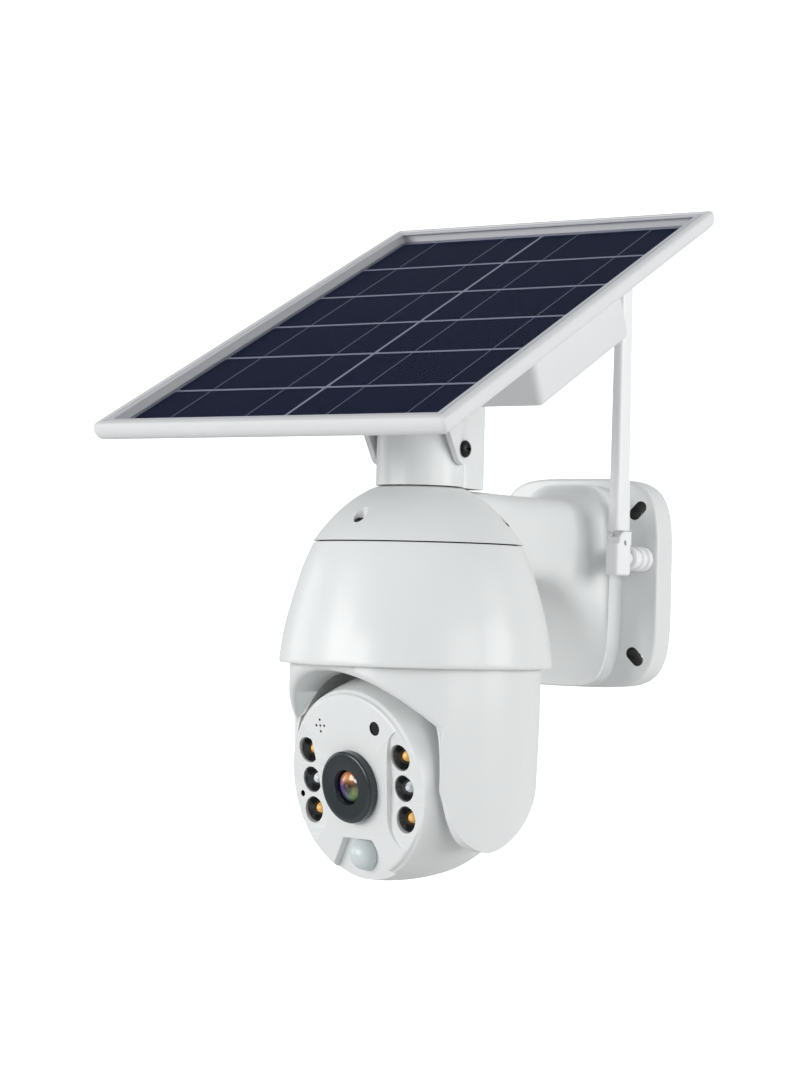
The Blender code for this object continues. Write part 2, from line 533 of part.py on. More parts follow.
# ---------------------------------------------------------------- antenna, in its own frame
reach = -PLATE_D - ANTENNA[1]
connector = turned("antenna_connector", [(0, reach - GAP), (6.2, reach - GAP), (6.2, reach - 4), (5.0, reach - 4.3),
                                         (5.0, reach - 6), (6.0, reach - 6.3), (6.0, reach - 10), (5.0, reach - 10.3),
                                         (5.0, reach - 13), (5.6, reach - 13.4), (5.6, reach - 17), (0, reach - 17)],
                   WHITE, AERIAL, 'Y', steps=28)
join(connector, rod("connector_thread", 3.0, (0, reach - 1, 0), 6, 'Y', None, AERIAL, 16))
KNUCKLE_D = 7.2
BARREL_R = 5.5
knuckle = block("antenna_knuckle", (-3.8, -KNUCKLE_D, -8.5), (3.8, KNUCKLE_D, FOLD_Z - 0.35), WHITE, AERIAL)
round_edges(knuckle, 1.1, 2, 60)
join(knuckle, rod("knuckle_barrel", BARREL_R, (-3.6, 0, FOLD_Z), 7.2, 'X', None, AERIAL, 24),
     rod("knuckle_neck", 3.6, (0, KNUCKLE_D - 2, 0), reach - 17 - GAP - KNUCKLE_D + 2, 'Y', None, AERIAL, 20))
cut(knuckle,
    block("tongue_slot", (-1.7, -4.8, FOLD_Z - 5.1), (1.7, 9.3, FOLD_Z + 10), None, AERIAL),
    rod("pin_bore", 1.3, (-10, 0, FOLD_Z), 20, 'X', None, AERIAL, 12))
rod("antenna_pin", 1.0, (-3.5, 0, FOLD_Z), 7.0, 'X', STEEL, AERIAL, 12)


def whip_section(z, share):
    """Softly squared section that narrows to the tip."""
    return [(x, y, z) for x, y in superellipse(3.6 - 0.7 * share, 6.9 - 1.4 * share, 3.6, 24)]


WHIP_LOW = FOLD_Z + BARREL_R + 0.35
WHIP_TOP = 140.0
stops = [(WHIP_LOW, 0.0), (WHIP_LOW + 60, 0.5), (WHIP_TOP - 3, 1.0), (WHIP_TOP - 1, 1.6), (WHIP_TOP, 2.6)]
whip = loft("antenna_whip", [whip_section(z, share) for z, share in stops], WHITE, AERIAL)
join(whip, rod("tongue_eye", 4.4, (-1.4, 0, FOLD_Z), 2.8, 'X', None, AERIAL, 20),
     block("tongue", (-1.4, -1.9, FOLD_Z), (1.4, 1.9, WHIP_LOW + 1), None, AERIAL))
cut(whip, rod("tongue_bore", 1.3, (-10, 0, FOLD_Z), 20, 'X', None, AERIAL, 12))
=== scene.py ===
"""Solar-powered pan and tilt security camera: its finished surfaces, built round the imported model.

Sizes are in millimetres in the object's own frame (+Z up, +Y into the wall); MM turns them into metres.
"""
import math

import bmesh
import bpy
import numpy as np
from mathutils import Matrix, Vector


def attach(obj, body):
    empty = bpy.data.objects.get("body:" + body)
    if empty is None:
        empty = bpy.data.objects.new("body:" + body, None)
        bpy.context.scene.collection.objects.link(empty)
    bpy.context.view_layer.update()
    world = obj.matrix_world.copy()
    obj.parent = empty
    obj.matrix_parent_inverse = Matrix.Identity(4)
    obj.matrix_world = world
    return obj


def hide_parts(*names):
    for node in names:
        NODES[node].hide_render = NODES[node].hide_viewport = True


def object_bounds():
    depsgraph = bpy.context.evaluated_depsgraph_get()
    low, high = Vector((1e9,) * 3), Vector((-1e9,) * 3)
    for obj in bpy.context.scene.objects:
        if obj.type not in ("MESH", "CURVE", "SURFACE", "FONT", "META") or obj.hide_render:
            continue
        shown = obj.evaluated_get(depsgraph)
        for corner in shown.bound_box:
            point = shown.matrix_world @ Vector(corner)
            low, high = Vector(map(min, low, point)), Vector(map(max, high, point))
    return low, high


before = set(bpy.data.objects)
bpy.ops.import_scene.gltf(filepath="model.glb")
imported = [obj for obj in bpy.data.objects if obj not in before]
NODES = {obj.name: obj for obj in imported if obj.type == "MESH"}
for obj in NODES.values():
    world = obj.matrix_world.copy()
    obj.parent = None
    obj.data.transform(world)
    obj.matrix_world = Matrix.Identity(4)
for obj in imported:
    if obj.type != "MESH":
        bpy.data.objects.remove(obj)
CAD_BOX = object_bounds()

# ------------------------------------------------------------------ camera and studio
# The camera stands to the right of the front and a little below the dome, 1.17 m away.
# A pale sweep of paper runs under and behind the object, with soft boxes round it.
MM = 0.001


def turn(about, degrees):
    """4 x 4 rotation about a named axis."""
    return Matrix.Rotation(math.radians(degrees), 4, about)


CAMERA_AZ, CAMERA_EL, CAMERA_ROLL = 31.848, -1.236, 1.424
eye = bpy.data.cameras.new("camera")
eye.lens = 85.2
eye.sensor_width = 36.0
eye.clip_end = 30.0
camera = bpy.data.objects.new("camera", eye)
bpy.context.scene.collection.objects.link(camera)
camera.matrix_world = (Matrix.Translation((0.6054, -1.1582, -0.0113)) @ turn('Z', CAMERA_AZ)
                       @ turn('X', 90 - CAMERA_EL) @ turn('Z', CAMERA_ROLL))
bpy.context.scene.camera = camera

world = bpy.data.worlds.new("studio")
bpy.context.scene.world = world
world.use_nodes = True
world.node_tree.nodes["Background"].inputs["Color"].default_value = (0.96, 0.98, 1.0, 1.0)
world.node_tree.nodes["Background"].inputs["Strength"].default_value = 0.36
bpy.context.scene.view_settings.view_transform = 'Standard'


def grid_mesh(name, points, wrap_rows=False, wrap_columns=False, caps=(False, False)):
    """A mesh over an (m, n, 3) array of points in mm.

    Row i and row i+1 are joined by quads; wrap joins the last row or column to the first.
    A cap closes the first or last row with one face.
    """
    rows, columns = points.shape[:2]
    index = np.arange(rows * columns).reshape(rows, columns)
    i = np.arange(rows if wrap_rows else rows - 1)[:, None]
    j = np.arange(columns if wrap_columns else columns - 1)[None, :]
    quads = np.stack((index[i, j], index[i, (j + 1) % columns],
                      index[(i + 1) % rows, (j + 1) % columns], index[(i + 1) % rows, j]), -1)
    faces = quads.reshape(-1, 4).tolist()
    if caps[0]:
        faces.append(index[0, ::-1].tolist())
    if caps[1]:
        faces.append(index[-1].tolist())
    mesh = bpy.data.meshes.new(name)
    mesh.from_pydata((points.reshape(-1, 3) * MM).tolist(), [], faces)
    piece = bmesh.new()
    piece.from_mesh(mesh)
    bmesh.ops.remove_doubles(piece, verts=piece.verts, dist=1e-6)
    bmesh.ops.dissolve_degenerate(piece, edges=piece.edges, dist=1e-7)
    bmesh.ops.recalc_face_normals(piece, faces=piece.faces)
    piece.to_mesh(mesh)
    piece.free()
    obj = bpy.data.objects.new(name, mesh)
    bpy.context.scene.collection.objects.link(obj)
    return obj


def sweep_paper(width=6000.0, floor=-900.0, wall=2000.0, radius=900.0):
    """Flat floor, quarter-circle bend and upright back, as one strip carried along X."""
    bend = np.radians(np.linspace(0, 90, 24))
    y = np.concatenate(([-5000.0], wall - radius + radius * np.sin(bend), [wall]))
    z = np.concatenate(([floor], floor + radius - radius * np.cos(bend), [3500.0]))
    x = np.array([-width, width])
    points = np.stack(np.broadcast_arrays(x[:, None], y[None, :], z[None, :]), -1)
    return grid_mesh("paper_sweep", points)


def lit_paper():
    """Pale paper, lit up evenly from 0.5 m behind the object; little of that glow reaches the object."""
    look = bpy.data.materials.new("pale_paper")
    look.use_nodes = True
    nodes, links = look.node_tree.nodes, look.node_tree.links
    shader = nodes["Principled BSDF"]
    shader.inputs["Base Color"].default_value = (0.62, 0.62, 0.62, 1.0)
    shader.inputs["Roughness"].default_value = 0.9
    place = nodes.new('ShaderNodeTexCoord')
    split = nodes.new('ShaderNodeSeparateXYZ')
    rise = nodes.new('ShaderNodeMapRange')
    rise.inputs["From Min"].default_value = 0.5
    rise.inputs["From Max"].default_value = 1.3
    rise.inputs["To Max"].default_value = 1.05
    links.new(place.outputs["Object"], split.inputs["Vector"])
    links.new(split.outputs["Y"], rise.inputs["Value"])
    seen = nodes.new('ShaderNodeLightPath')
    share = nodes.new('ShaderNodeMapRange')
    share.inputs["To Min"].default_value = 0.2
    glow = nodes.new('ShaderNodeMath')
    glow.operation = 'MULTIPLY'
    links.new(seen.outputs["Is Camera Ray"], share.inputs["Value"])
    links.new(rise.outputs["Result"], glow.inputs[0])
    links.new(share.outputs["Result"], glow.inputs[1])
    links.new(glow.outputs[0], shader.inputs["Emission Strength"])
    shader.inputs["Emission Color"].default_value = (1.0, 1.0, 1.0, 1.0)
    return look


paper = sweep_paper()
paper.data.shade_smooth()
paper.data.materials.append(lit_paper())


def soft_box(name, place, target, size, power, spread=180.0):
    """A square lamp that faces a point."""
    lamp = bpy.data.lights.new(name, 'AREA')
    lamp.shape = 'SQUARE'
    lamp.size = size
    lamp.energy = power
    lamp.spread = math.radians(spread)
    holder = bpy.data.objects.new(name, lamp)
    bpy.context.scene.collection.objects.link(holder)
    holder.location = place
    aim = Vector(target) - Vector(place)
    holder.rotation_euler = aim.to_track_quat('-Z', 'Y').to_euler()


CENTRE = (0.0, -0.16, 0.0)
soft_box("key_left", (-1.5, -2.1, 0.55), CENTRE, 1.0, 22.0)
soft_box("key_front", (-0.65, -2.5, 0.25), CENTRE, 0.7, 14.5)
soft_box("fill_right", (2.4, -0.9, 0.4), CENTRE, 1.2, 15.0)
soft_box("rim_right", (2.3, 0.5, 0.4), CENTRE, 1.0, 18.0)
soft_box("rim_left", (-2.2, -0.3, 0.3), CENTRE, 1.0, 5.0)

# ------------------------------------------------------------------ moulded white shells
# Nearly every outer piece is injection-moulded ABS: satin white, with the fine even grain of the
# tool, faint flow clouds in the tint and a slightly duller skin where hands and weather reach.


def value_node(nodes, kind, **settings):
    """A new node with its properties set."""
    node = nodes.new(kind)
    for name, value in settings.items():
        setattr(node, name, value)
    return node


def preset(node, **values):
    """Default values for a node's inputs; an underscore stands for a space."""
    for label, value in values.items():
        node.inputs[label.replace("_", " ")].default_value = value


def new_look(name):
    """An empty material with its nodes, its links and its Principled shader."""
    look = bpy.data.materials.new(name)
    look.use_nodes = True
    nodes = look.node_tree.nodes
    return look, nodes, look.node_tree.links, nodes["Principled BSDF"]


def object_place(nodes):
    """The object-coordinate output that patterns read."""
    return nodes.new('ShaderNodeTexCoord').outputs["Object"]


def new_group(name, inputs, outputs):
    """A shader group with typed inputs and outputs, and its own ends."""
    group = bpy.data.node_groups.new(name, 'ShaderNodeTree')
    for label, kind, default in inputs:
        socket = group.interface.new_socket(label, in_out='INPUT', socket_type=kind)
        socket.default_value = default
    for label, kind in outputs:
        group.interface.new_socket(label, in_out='OUTPUT', socket_type=kind)
    return group, group.nodes.new('NodeGroupInput'), group.nodes.new('NodeGroupOutput')


def moulded_group():
    """Tint clouds, roughness clouds and grain height for moulded plastic."""
    group, start, end = new_group(
        "moulded_skin",
        [("Light", 'NodeSocketColor', (0.85, 0.85, 0.85, 1)),
         ("Shade", 'NodeSocketColor', (0.8, 0.8, 0.8, 1)),
         ("Roughness", 'NodeSocketFloat', 0.35), ("Grain", 'NodeSocketFloat', 1500.0)],
        [("Color", 'NodeSocketColor'), ("Roughness", 'NodeSocketFloat'), ("Height", 'NodeSocketFloat')])
    nodes, links = group.nodes, group.links
    place = object_place(nodes)
    clouds = nodes.new('ShaderNodeTexNoise')
    grain = nodes.new('ShaderNodeTexNoise')
    specks = nodes.new('ShaderNodeTexVoronoi')
    preset(clouds, Scale=22.0, Detail=4.0)
    preset(grain, Detail=2.0)
    preset(specks, Scale=420.0)
    for pattern in (clouds, grain, specks):
        links.new(place, pattern.inputs["Vector"])
    links.new(start.outputs["Grain"], grain.inputs["Scale"])
    tint = value_node(nodes, 'ShaderNodeMix', data_type='RGBA')
    links.new(clouds.outputs["Fac"], tint.inputs["Factor"])
    links.new(start.outputs["Light"], tint.inputs["A"])
    links.new(start.outputs["Shade"], tint.inputs["B"])
    links.new(tint.outputs["Result"], end.inputs["Color"])
    spread = value_node(nodes, 'ShaderNodeMath', operation='MULTIPLY_ADD')
    spread.inputs[1].default_value = 0.16
    links.new(clouds.outputs["Fac"], spread.inputs[0])
    links.new(start.outputs["Roughness"], spread.inputs[2])
    links.new(spread.outputs[0], end.inputs["Roughness"])
    blend = value_node(nodes, 'ShaderNodeMath', operation='MULTIPLY_ADD')
    blend.inputs[1].default_value = 0.25
    links.new(specks.outputs["Distance"], blend.inputs[0])
    links.new(grain.outputs["Fac"], blend.inputs[2])
    links.new(blend.outputs[0], end.inputs["Height"])
    return group


MOULDED = moulded_group()


def moulded(name, light, shade, roughness, grain=1500.0, bump=0.06, coat=0.0, metallic=0.0):
    """A plastic material: the moulded_skin group feeding one Principled shader."""
    look, nodes, links, shader = new_look(name)
    skin = value_node(nodes, 'ShaderNodeGroup', node_tree=MOULDED)
    preset(skin, Light=(*light, 1), Shade=(*shade, 1), Roughness=roughness, Grain=grain)
    relief = nodes.new('ShaderNodeBump')
    preset(relief, Strength=bump, Distance=0.0004)
    links.new(skin.outputs["Color"], shader.inputs["Base Color"])
    links.new(skin.outputs["Roughness"], shader.inputs["Roughness"])
    links.new(skin.outputs["Height"], relief.inputs["Height"])
    links.new(relief.outputs["Normal"], shader.inputs["Normal"])
    preset(shader, Coat_Weight=coat, Coat_Roughness=0.12, Metallic=metallic)
    return look


SHELL = moulded("shell_white", (0.80, 0.815, 0.81), (0.77, 0.785, 0.78), 0.27, coat=0.12)
# Black for the walls of slots and small holes: painted shade standing in for the dark inside them.
PAINTED_HOLE_SHADE = moulded("painted_hole_shade", (0.006, 0.006, 0.006), (0.01, 0.01, 0.01), 0.5)


def revolve(name, profile, place=None, steps=192, ring=False):
    """A profile of (radius, height) carried round the Z axis: (r cos t, r sin t, h).

    place is the 4 x 4 matrix (in mm) that puts the turned shape in the object's frame.
    """
    profile = np.array(profile, float)
    angle = np.linspace(0, 2 * np.pi, steps, endpoint=False)[None, :]
    radius, height = profile[:, :1], profile[:, 1:]
    points = np.stack((radius * np.cos(angle), radius * np.sin(angle), height + 0 * angle), -1)
    return grid_mesh(name, moved(points, place), wrap_rows=ring, wrap_columns=True)


def moved(points, place):
    """Points of any array shape through a 4 x 4 matrix."""
    if place is None:
        return points
    matrix = np.array(place)
    return points @ matrix[:3, :3].T + matrix[:3, 3]


def prism(name, outline, low, high, place=None):
    """A closed outline of (x, y) points carried from z = low to z = high."""
    outline = np.array(outline, float)
    height = np.array([low, high], float)[:, None]
    points = np.stack((outline[None, :, 0] + 0 * height, outline[None, :, 1] + 0 * height,
                       height + 0 * outline[None, :, 0]), -1)
    return grid_mesh(name, moved(points, place), wrap_columns=True, caps=(True, True))


def rod(radius, high, low):
    """Turned profile of a plain rod."""
    return [(0, high), (radius, high), (radius, low), (0, low)]


def edge_on(place):
    """A place turned so that a prism's outline lies in its Y-Z plane and its length runs along X."""
    return place @ Matrix(((0, 0, 1, 0), (1, 0, 0, 0), (0, 1, 0, 0), (0, 0, 0, 1)))


def crown(radius, base, rise, sweep, count):
    """A cap of a circle, stretched to a radius R and a rise H over its base b.

    (R sin t / sin T, b + H (cos t - cos T) / (1 - cos T)) for t from 0 to the sweep T.
    """
    t = np.radians(np.linspace(0, sweep, count))
    return np.stack((radius * np.sin(t) / math.sin(t[-1]),
                     base + rise * (np.cos(t) - math.cos(t[-1])) / (1 - math.cos(t[-1]))), -1)


def smooth_profile(knots, count):
    """A Catmull-Rom curve through the knots, count points to each span."""
    knots = np.array(knots, float)
    padded = np.vstack((2 * knots[0] - knots[1], knots, 2 * knots[-1] - knots[-2]))
    t = np.linspace(0, 1, count, endpoint=False)[:, None]
    spans = []
    for a, b, c, d in zip(padded, padded[1:], padded[2:], padded[3:]):
        spans.append(0.5 * (2 * b + (c - a) * t + (2 * a - 5 * b + 4 * c - d) * t ** 2
                            + (3 * b - a - 3 * c + d) * t ** 3))
    return np.vstack(spans + [knots[-1:]])


def mesh_step(piece, other, operation, solver='MANIFOLD'):
    """A Boolean applied at once; the other solid is used up."""
    step = piece.modifiers.new(operation, 'BOOLEAN')
    step.operation = operation
    step.solver = solver
    step.object = other
    step.material_mode = 'TRANSFER'
    apply_all(piece)
    bpy.data.objects.remove(other, do_unlink=True)


def apply_all(piece):
    """The modifiers' result becomes the piece's own mesh."""
    shown = piece.evaluated_get(bpy.context.evaluated_depsgraph_get())
    made = bpy.data.meshes.new_from_object(shown)
    piece.modifiers.clear()
    piece.data = made


def cut(piece, *cutters):
    for cutter in cutters:
        mesh_step(piece, cutter, 'DIFFERENCE')


def join(piece, *others):
    for other in others:
        mesh_step(piece, other, 'UNION')


def soften(piece, width, segments=3, angle=35):
    """Rounds the crisp edges of a finished solid."""
    bevel = piece.modifiers.new("softened_edges", 'BEVEL')
    bevel.width = width * MM
    bevel.segments = segments
    bevel.limit_method = 'ANGLE'
    bevel.angle_limit = math.radians(angle)
    bevel.use_clamp_overlap = True
    bevel.harden_normals = True
    apply_all(piece)


def dress(piece, look, body, slot, *nodes, angle=32):
    """Material, shading, body, slot (not used) and the model nodes that the piece stands for."""
    if look:
        if not piece.data.materials:
            piece.data.materials.append(look)
        else:
            piece.data.materials[0] = look
    piece.data.shade_smooth()
    piece.data.set_sharp_from_angle(angle=math.radians(angle))
    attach(piece, body)
    if nodes:
        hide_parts(*nodes)
    return piece


# ------------------------------------------------------------------ wall bracket
# One white moulding: the superellipse wall plate with four slots, a boss, the arm that flares into
# it like a horn, and the domed cap that closes the housing. It hangs the whole camera on the wall.
PAN_Y = -168.0
DOME = Matrix.Translation((0, PAN_Y, 0))
WALLWARD = turn('X', 90)          # takes +Z to -Y
PLATE_W, PLATE_H, PLATE_D = 90.0, 104.0, 16.0
BOSS_FRONT = -29.0
CAP = [(13, 39.9), (17.5, 39.9), (20.8, 39.2), (24.2, 37.5), (30.3, 33.5), (36.9, 27.7), (42.7, 21.1),
       (47.4, 14.8)]


def superellipse(half_x, half_y, power, count=160):
    """|x/a|^p + |y/b|^p = 1, spaced by angle."""
    angle = np.linspace(0, 2 * np.pi, count, endpoint=False)
    c, s = np.cos(angle), np.sin(angle)
    return np.stack((half_x * np.sign(c) * abs(c) ** (2 / power),
                     half_y * np.sign(s) * abs(s) ** (2 / power)), -1)


def flare(y, start, end):
    """0 at start, rising as a concave quarter circle to 1 at end."""
    along = np.clip((y - start) / (end - start), 0, 1)
    return 1 - np.sqrt(1 - along ** 2)


def tube_sections(y, width, low, high, power, count=120):
    """Superellipse sections along Y, each of its own half width, foot, top and power."""
    rows = []
    for along, half, foot, top, p in zip(y, width, low, high, power + 0 * y):
        section = superellipse(half, (top - foot) / 2, p, count)
        centre = (top + foot) / 2
        rows.append(np.column_stack((section[:, 0], np.full(count, along), section[:, 1] + centre)))
    return np.array(rows)


def arm_tube():
    """The horn: even towards the dome, flaring out and down as it meets the boss."""
    y = np.concatenate((np.linspace(PAN_Y + 6, PAN_Y + 58, 24), np.linspace(PAN_Y + 60, -32, 60),
                        BOSS_FRONT - 3 * np.linspace(1, 0.02, 12) ** 2, [-27.0]))
    width = 20.0 + 5.2 * flare(y, BOSS_FRONT - 18, BOSS_FRONT)
    high = 39.8 + 8.6 * flare(y, BOSS_FRONT - 40, BOSS_FRONT)
    drop = np.clip((y - PAN_Y - 47) / 9.0, 0, 1)
    low = 17.5 - 18.5 * np.sqrt(1 - (1 - drop) ** 2) - 50.2 * flare(y, BOSS_FRONT - 48, BOSS_FRONT)
    power = 3.4 + 0.8 * flare(y, BOSS_FRONT - 18, BOSS_FRONT)
    rows = tube_sections(y, width, low, high, power)
    return grid_mesh("arm", rows, wrap_columns=True, caps=(True, True))


def boss_block():
    """Upright boss whose lower end runs back to the plate in a quarter ellipse."""
    y = np.concatenate((BOSS_FRONT + 13 * np.linspace(0, 1, 40) ** 2, [-12.0]))
    back = np.clip((y - BOSS_FRONT) / (-PLATE_D - BOSS_FRONT), 0, 1)
    low = -51.3 + 26.0 * (1 - np.sqrt(np.clip(1 - (1 - back) ** 2, 0, 1)))
    high = np.full_like(y, 48.5)
    width = np.full_like(y, 25.3)
    rows = tube_sections(y, width, low, high, 4.2)
    return grid_mesh("boss", rows, wrap_columns=True, caps=(True, True))


def rounded_plate(name, half_x, half_y, power, depth, round_off):
    """Superellipse plate whose front edge is a quarter round."""
    unit = superellipse(1.0, 1.0, power, 200)
    bend = np.radians(np.linspace(0, 90, 7))
    inset = np.concatenate(([0.0], round_off * (1 - np.cos(bend))))
    height = np.concatenate(([0.0], depth - round_off + round_off * np.sin(bend)))
    x, y = unit.T
    points = np.stack(((half_x - inset)[:, None] * x, (half_y - inset)[:, None] * y,
                       height[:, None] + 0 * x), -1)
    return grid_mesh(name, moved(points, WALLWARD), wrap_columns=True, caps=(True, True))


def oblong(x, y, length, width, lean):
    """A slot outline: two half circles joined, turned by lean degrees."""
    t = np.radians(np.linspace(-90, 90, 17))
    reach = (length - width) / 2
    right = np.stack((reach + width / 2 * np.cos(t), width / 2 * np.sin(t)), -1)
    both = np.vstack((right, -right))
    c, s = math.cos(math.radians(lean)), math.sin(math.radians(lean))
    return np.stack((x + both[:, 0] * c - both[:, 1] * s, y + both[:, 0] * s + both[:, 1] * c), -1)


def round_box(x0, x1, y0, y1, radius, count=10):
    """A rectangle with quarter-circle corners."""
    t = np.radians(np.linspace(0, 90, count))
    arcs = []
    for i, (x, y) in enumerate(((x1 - radius, y1 - radius), (x0 + radius, y1 - radius),
                                (x0 + radius, y0 + radius), (x1 - radius, y0 + radius))):
        a = t + i * math.pi / 2
        arcs.append(np.stack((x + radius * np.cos(a), y + radius * np.sin(a)), -1))
    return np.vstack(arcs)


cap_curve = smooth_profile(CAP, 10)
bracket = revolve("mounting_bracket", [(0, 40.0), (10, 39.95)] + cap_curve.tolist() + [(0, 14.8)], DOME)
join(bracket, arm_tube())
back = boss_block()
join(back, rounded_plate("plate", PLATE_W / 2, PLATE_H / 2, 4.6, PLATE_D, 1.6))
join(bracket, back)
cap_inner = [(0, 37.3)] + [(r - 2.5, z - 2.5) for r, z in CAP[:-1]] + [(44.9, 14.8), (44.9, 8), (0, 8)]
cut(bracket, revolve("cap_room", cap_inner, DOME, 96))
bracket.data.materials.append(SHELL)
SLOT_X, SLOT_Z, SLOT_L, SLOT_W = 33.5, 36.0, 10.6, 6.2


def cut_slots(piece, low, high):
    """Four screw slots that lean outwards, one near each corner of the plate; their walls are painted black
    as painted shade.
    """
    for side in (-1, 1):
        for level in (-1, 1):
            outline = oblong(side * SLOT_X, level * SLOT_Z, SLOT_L, SLOT_W, 45 * side * level)
            slot_cutter = prism("slot", outline, low, high, WALLWARD)
            slot_cutter.data.materials.append(PAINTED_HOLE_SHADE)
            cut(piece, slot_cutter)


cut_slots(bracket, -2.0, PLATE_D + 2)
recess = superellipse(PLATE_W / 2 - 2.5, PLATE_H / 2 - 2.5, 4.6, 200)
cut(bracket, prism("cover_recess", recess, -1.0, 2.9, WALLWARD))
CAP_SCREWS = [(38.2 * math.cos(t), PAN_Y + 38.2 * math.sin(t)) for t in np.radians((-100, 20, 140))]
for x, y in CAP_SCREWS:
    spot = Matrix.Translation((x, y, 0))
    sink = revolve("sink", [(0, 60), (3.3, 60), (3.3, 22.5), (1.8, 22.5), (1.8, 10), (0, 10)], spot, 40)
    cut(bracket, sink)
dress(bracket, SHELL, "root", "white_shell", "wall_bracket")

cover = rounded_plate("back_cover", PLATE_W / 2 - 2.8, PLATE_H / 2 - 2.8, 4.6, 2.4, 0.3)
cover.data.materials.append(SHELL)
cut_slots(cover, -3.0, 6.0)
dress(cover, SHELL, "root", "white_shell", "bracket_back_cover")

# ------------------------------------------------------------------ dome shell and its gasket
# The white skirt under the cap, drawn out to 122.6 mm at the rim, with a rolled-in lower lip. The
# black gasket shows only as a thin line under the cap.
DOME_OUT = [(47.4, 13.6), (51.8, 3.0), (56.0, -11.0), (59.3, -24.3), (61.2, -37.0)]
outer = smooth_profile(DOME_OUT, 12)
rim = [(61.3, -38.6), (61.2, -39.4), (60.8, -39.9), (60.2, -40.0), (59.0, -40.0), (58.5, -39.6),
       (58.4, -39.0)]
inner = [(58.6, -36.5), (56.8, -23.5), (53.5, -10.4), (49.3, 3.2), (45.0, 13.4), (45.0, 14.2)]
dome_profile = [(46.9, 14.2)] + outer.tolist() + rim + inner
dome = revolve("dome_skirt", dome_profile, DOME, ring=True)
dress(dome, SHELL, "root", "white_shell", "dome_shell")

# ------------------------------------------------------------------ panel post
# Two hollow columns in one white moulding: a round one in front that takes the hinge screws and a
# squarer one behind it, standing on the cap.
HINGE_Z, POST_FOOT, POST_TOP, SPINE_TOP = 57.0, 40.3, 69.7, 82.0
post_profile = [(0, POST_TOP), (17.8, POST_TOP), (19.0, 69.4), (19.6, 68.8), (19.8, 67.8), (19.8, POST_FOOT),
                (0, POST_FOOT)]
post = revolve("post", post_profile, DOME, 128)
spine = prism("spine", round_box(-15, 15, 9, 38, 9, 16), POST_FOOT, SPINE_TOP, DOME)
join(post, spine)
cross = Matrix.Translation((0, PAN_Y, HINGE_Z)) @ turn('Y', 90)
cut(post, revolve("hinge_bore", rod(2.2, 40, -40), cross, 32),
    revolve("post_room", rod(16.6, 67.2, 35), DOME, 64))
dress(post, SHELL, "root", "white_shell", "panel_post")

# ------------------------------------------------------------------ screws
# Blackened pan-head screws with a cross recess: two clamp the panel's hinge, three sit deep in the
# cap and hold it to the dome.
SCREW = moulded("blackened_steel", (0.012, 0.012, 0.013), (0.03, 0.03, 0.03), 0.28, 900.0, 0.12,
                metallic=0.85)


def cross_screw(name, head, shank, place):
    """Turned pan head and shank along +Z, with a cross cut in the crown."""
    radius, height = head
    t = np.radians(np.linspace(90, 0, 10))
    pan = [(radius * math.cos(a), height * math.sin(a) ** 0.8) for a in t]
    below = [(radius, 0), (shank[0], 0), (shank[0], -shank[1]), (0, -shank[1])]
    made = revolve(name, [(0, height)] + pan[1:] + below, place, 48)
    for angle in (0, 90):
        arm = round_box(-0.38 * radius * 1.4, 0.38 * radius * 1.4, -0.13 * radius, 0.13 * radius, 0.1, 3)
        cut(made, prism("recess", arm, height * 0.35, height + 2, place @ turn('Z', angle)))
    return made


for side, tag in ((-1, "left"), (1, "right")):
    seat = Matrix.Translation((side * 23.1, PAN_Y, HINGE_Z)) @ turn('Y', side * 90)
    screw = cross_screw(f"hinge_bolt_{tag}", (3.9, 2.2), (1.9, 8.0), seat)
    dress(screw, SCREW, "solar_panel", "black_screw", f"hinge_screw_{tag}")
for number, (x, y) in enumerate(CAP_SCREWS, 1):
    seat = Matrix.Translation((x, y, 22.9))
    screw = cross_screw(f"cap_bolt_{number}", (2.9, 1.9), (1.4, 6.4), seat)
    dress(screw, SCREW, "root", "black_screw", f"cap_screw_{number}")

# ------------------------------------------------------------------ yoke
# The turning fork under the dome: a white drum cut away in front by an arch and below by a rounded
# scoop, so that two cheeks are left to carry the head.
PAN_REST, TILT_Z, TILT_REST = -15.0, -87.4, 9.15
PAN = Matrix.Translation((0, PAN_Y, 0)) @ turn('Z', PAN_REST)
TILT = PAN @ Matrix.Translation((0, 0, TILT_Z)) @ turn('X', TILT_REST)
ACROSS = turn('Y', 90)            # takes +Z to +X
FORWARD = turn('X', 90)           # takes +Z to -Y
CHEEK_FRONT = -28.8
drum = smooth_profile([(56.4, -42.0), (56.4, -60.0), (55.6, -90.0), (54.4, -125.0)], 14)
drum_top = [(0, -27.0), (55.0, -27.0), (55.6, -28.0), (56.2, -38.0)]
yoke = revolve("yoke_shell", drum_top + drum.tolist() + [(0, -125.0)], PAN, 224)
AXLE = PAN @ Matrix.Translation((0, 0, TILT_Z))


def cylinder_across(name, radius, low, high, steps=160):
    """A plain cylinder along the tilt axis."""
    return revolve(name, rod(radius, high, low), AXLE @ ACROSS, steps)


ROOM = [(0, 48.8), (14.0, 48.6), (21.0, 48.2), (26.0, 47.6), (29.5, 46.9), (33.0, 46.0), (36.5, 44.3)]
ROOM += [(math.sqrt(55.8 ** 2 - x * x), x) for x in np.linspace(41.0, 0.5, 24)]
front_room = revolve("front_room", ROOM + [(r, -x) for r, x in ROOM[::-1]], AXLE @ ACROSS, 160)
rear_half = [(-70, -2), (70, -2), (70, 160), (-70, 160)]
rear_end = [(-70, -90), (70, -90), (70, 90), (-70, 90)]
cut(front_room, prism("rear_half", rear_half, -90.0, 0.0, AXLE @ FORWARD),
    prism("rear_end", rear_end, -90.0, -24.0, AXLE @ FORWARD))
ball_room = [(math.sqrt(max(49.4 ** 2 - x * x, 0)), x) for x in np.linspace(48.2, -48.2, 40)]
cut(yoke, front_room, revolve("rear_room", [(0, 48.6)] + ball_room + [(0, -48.6)], AXLE @ ACROSS, 160))
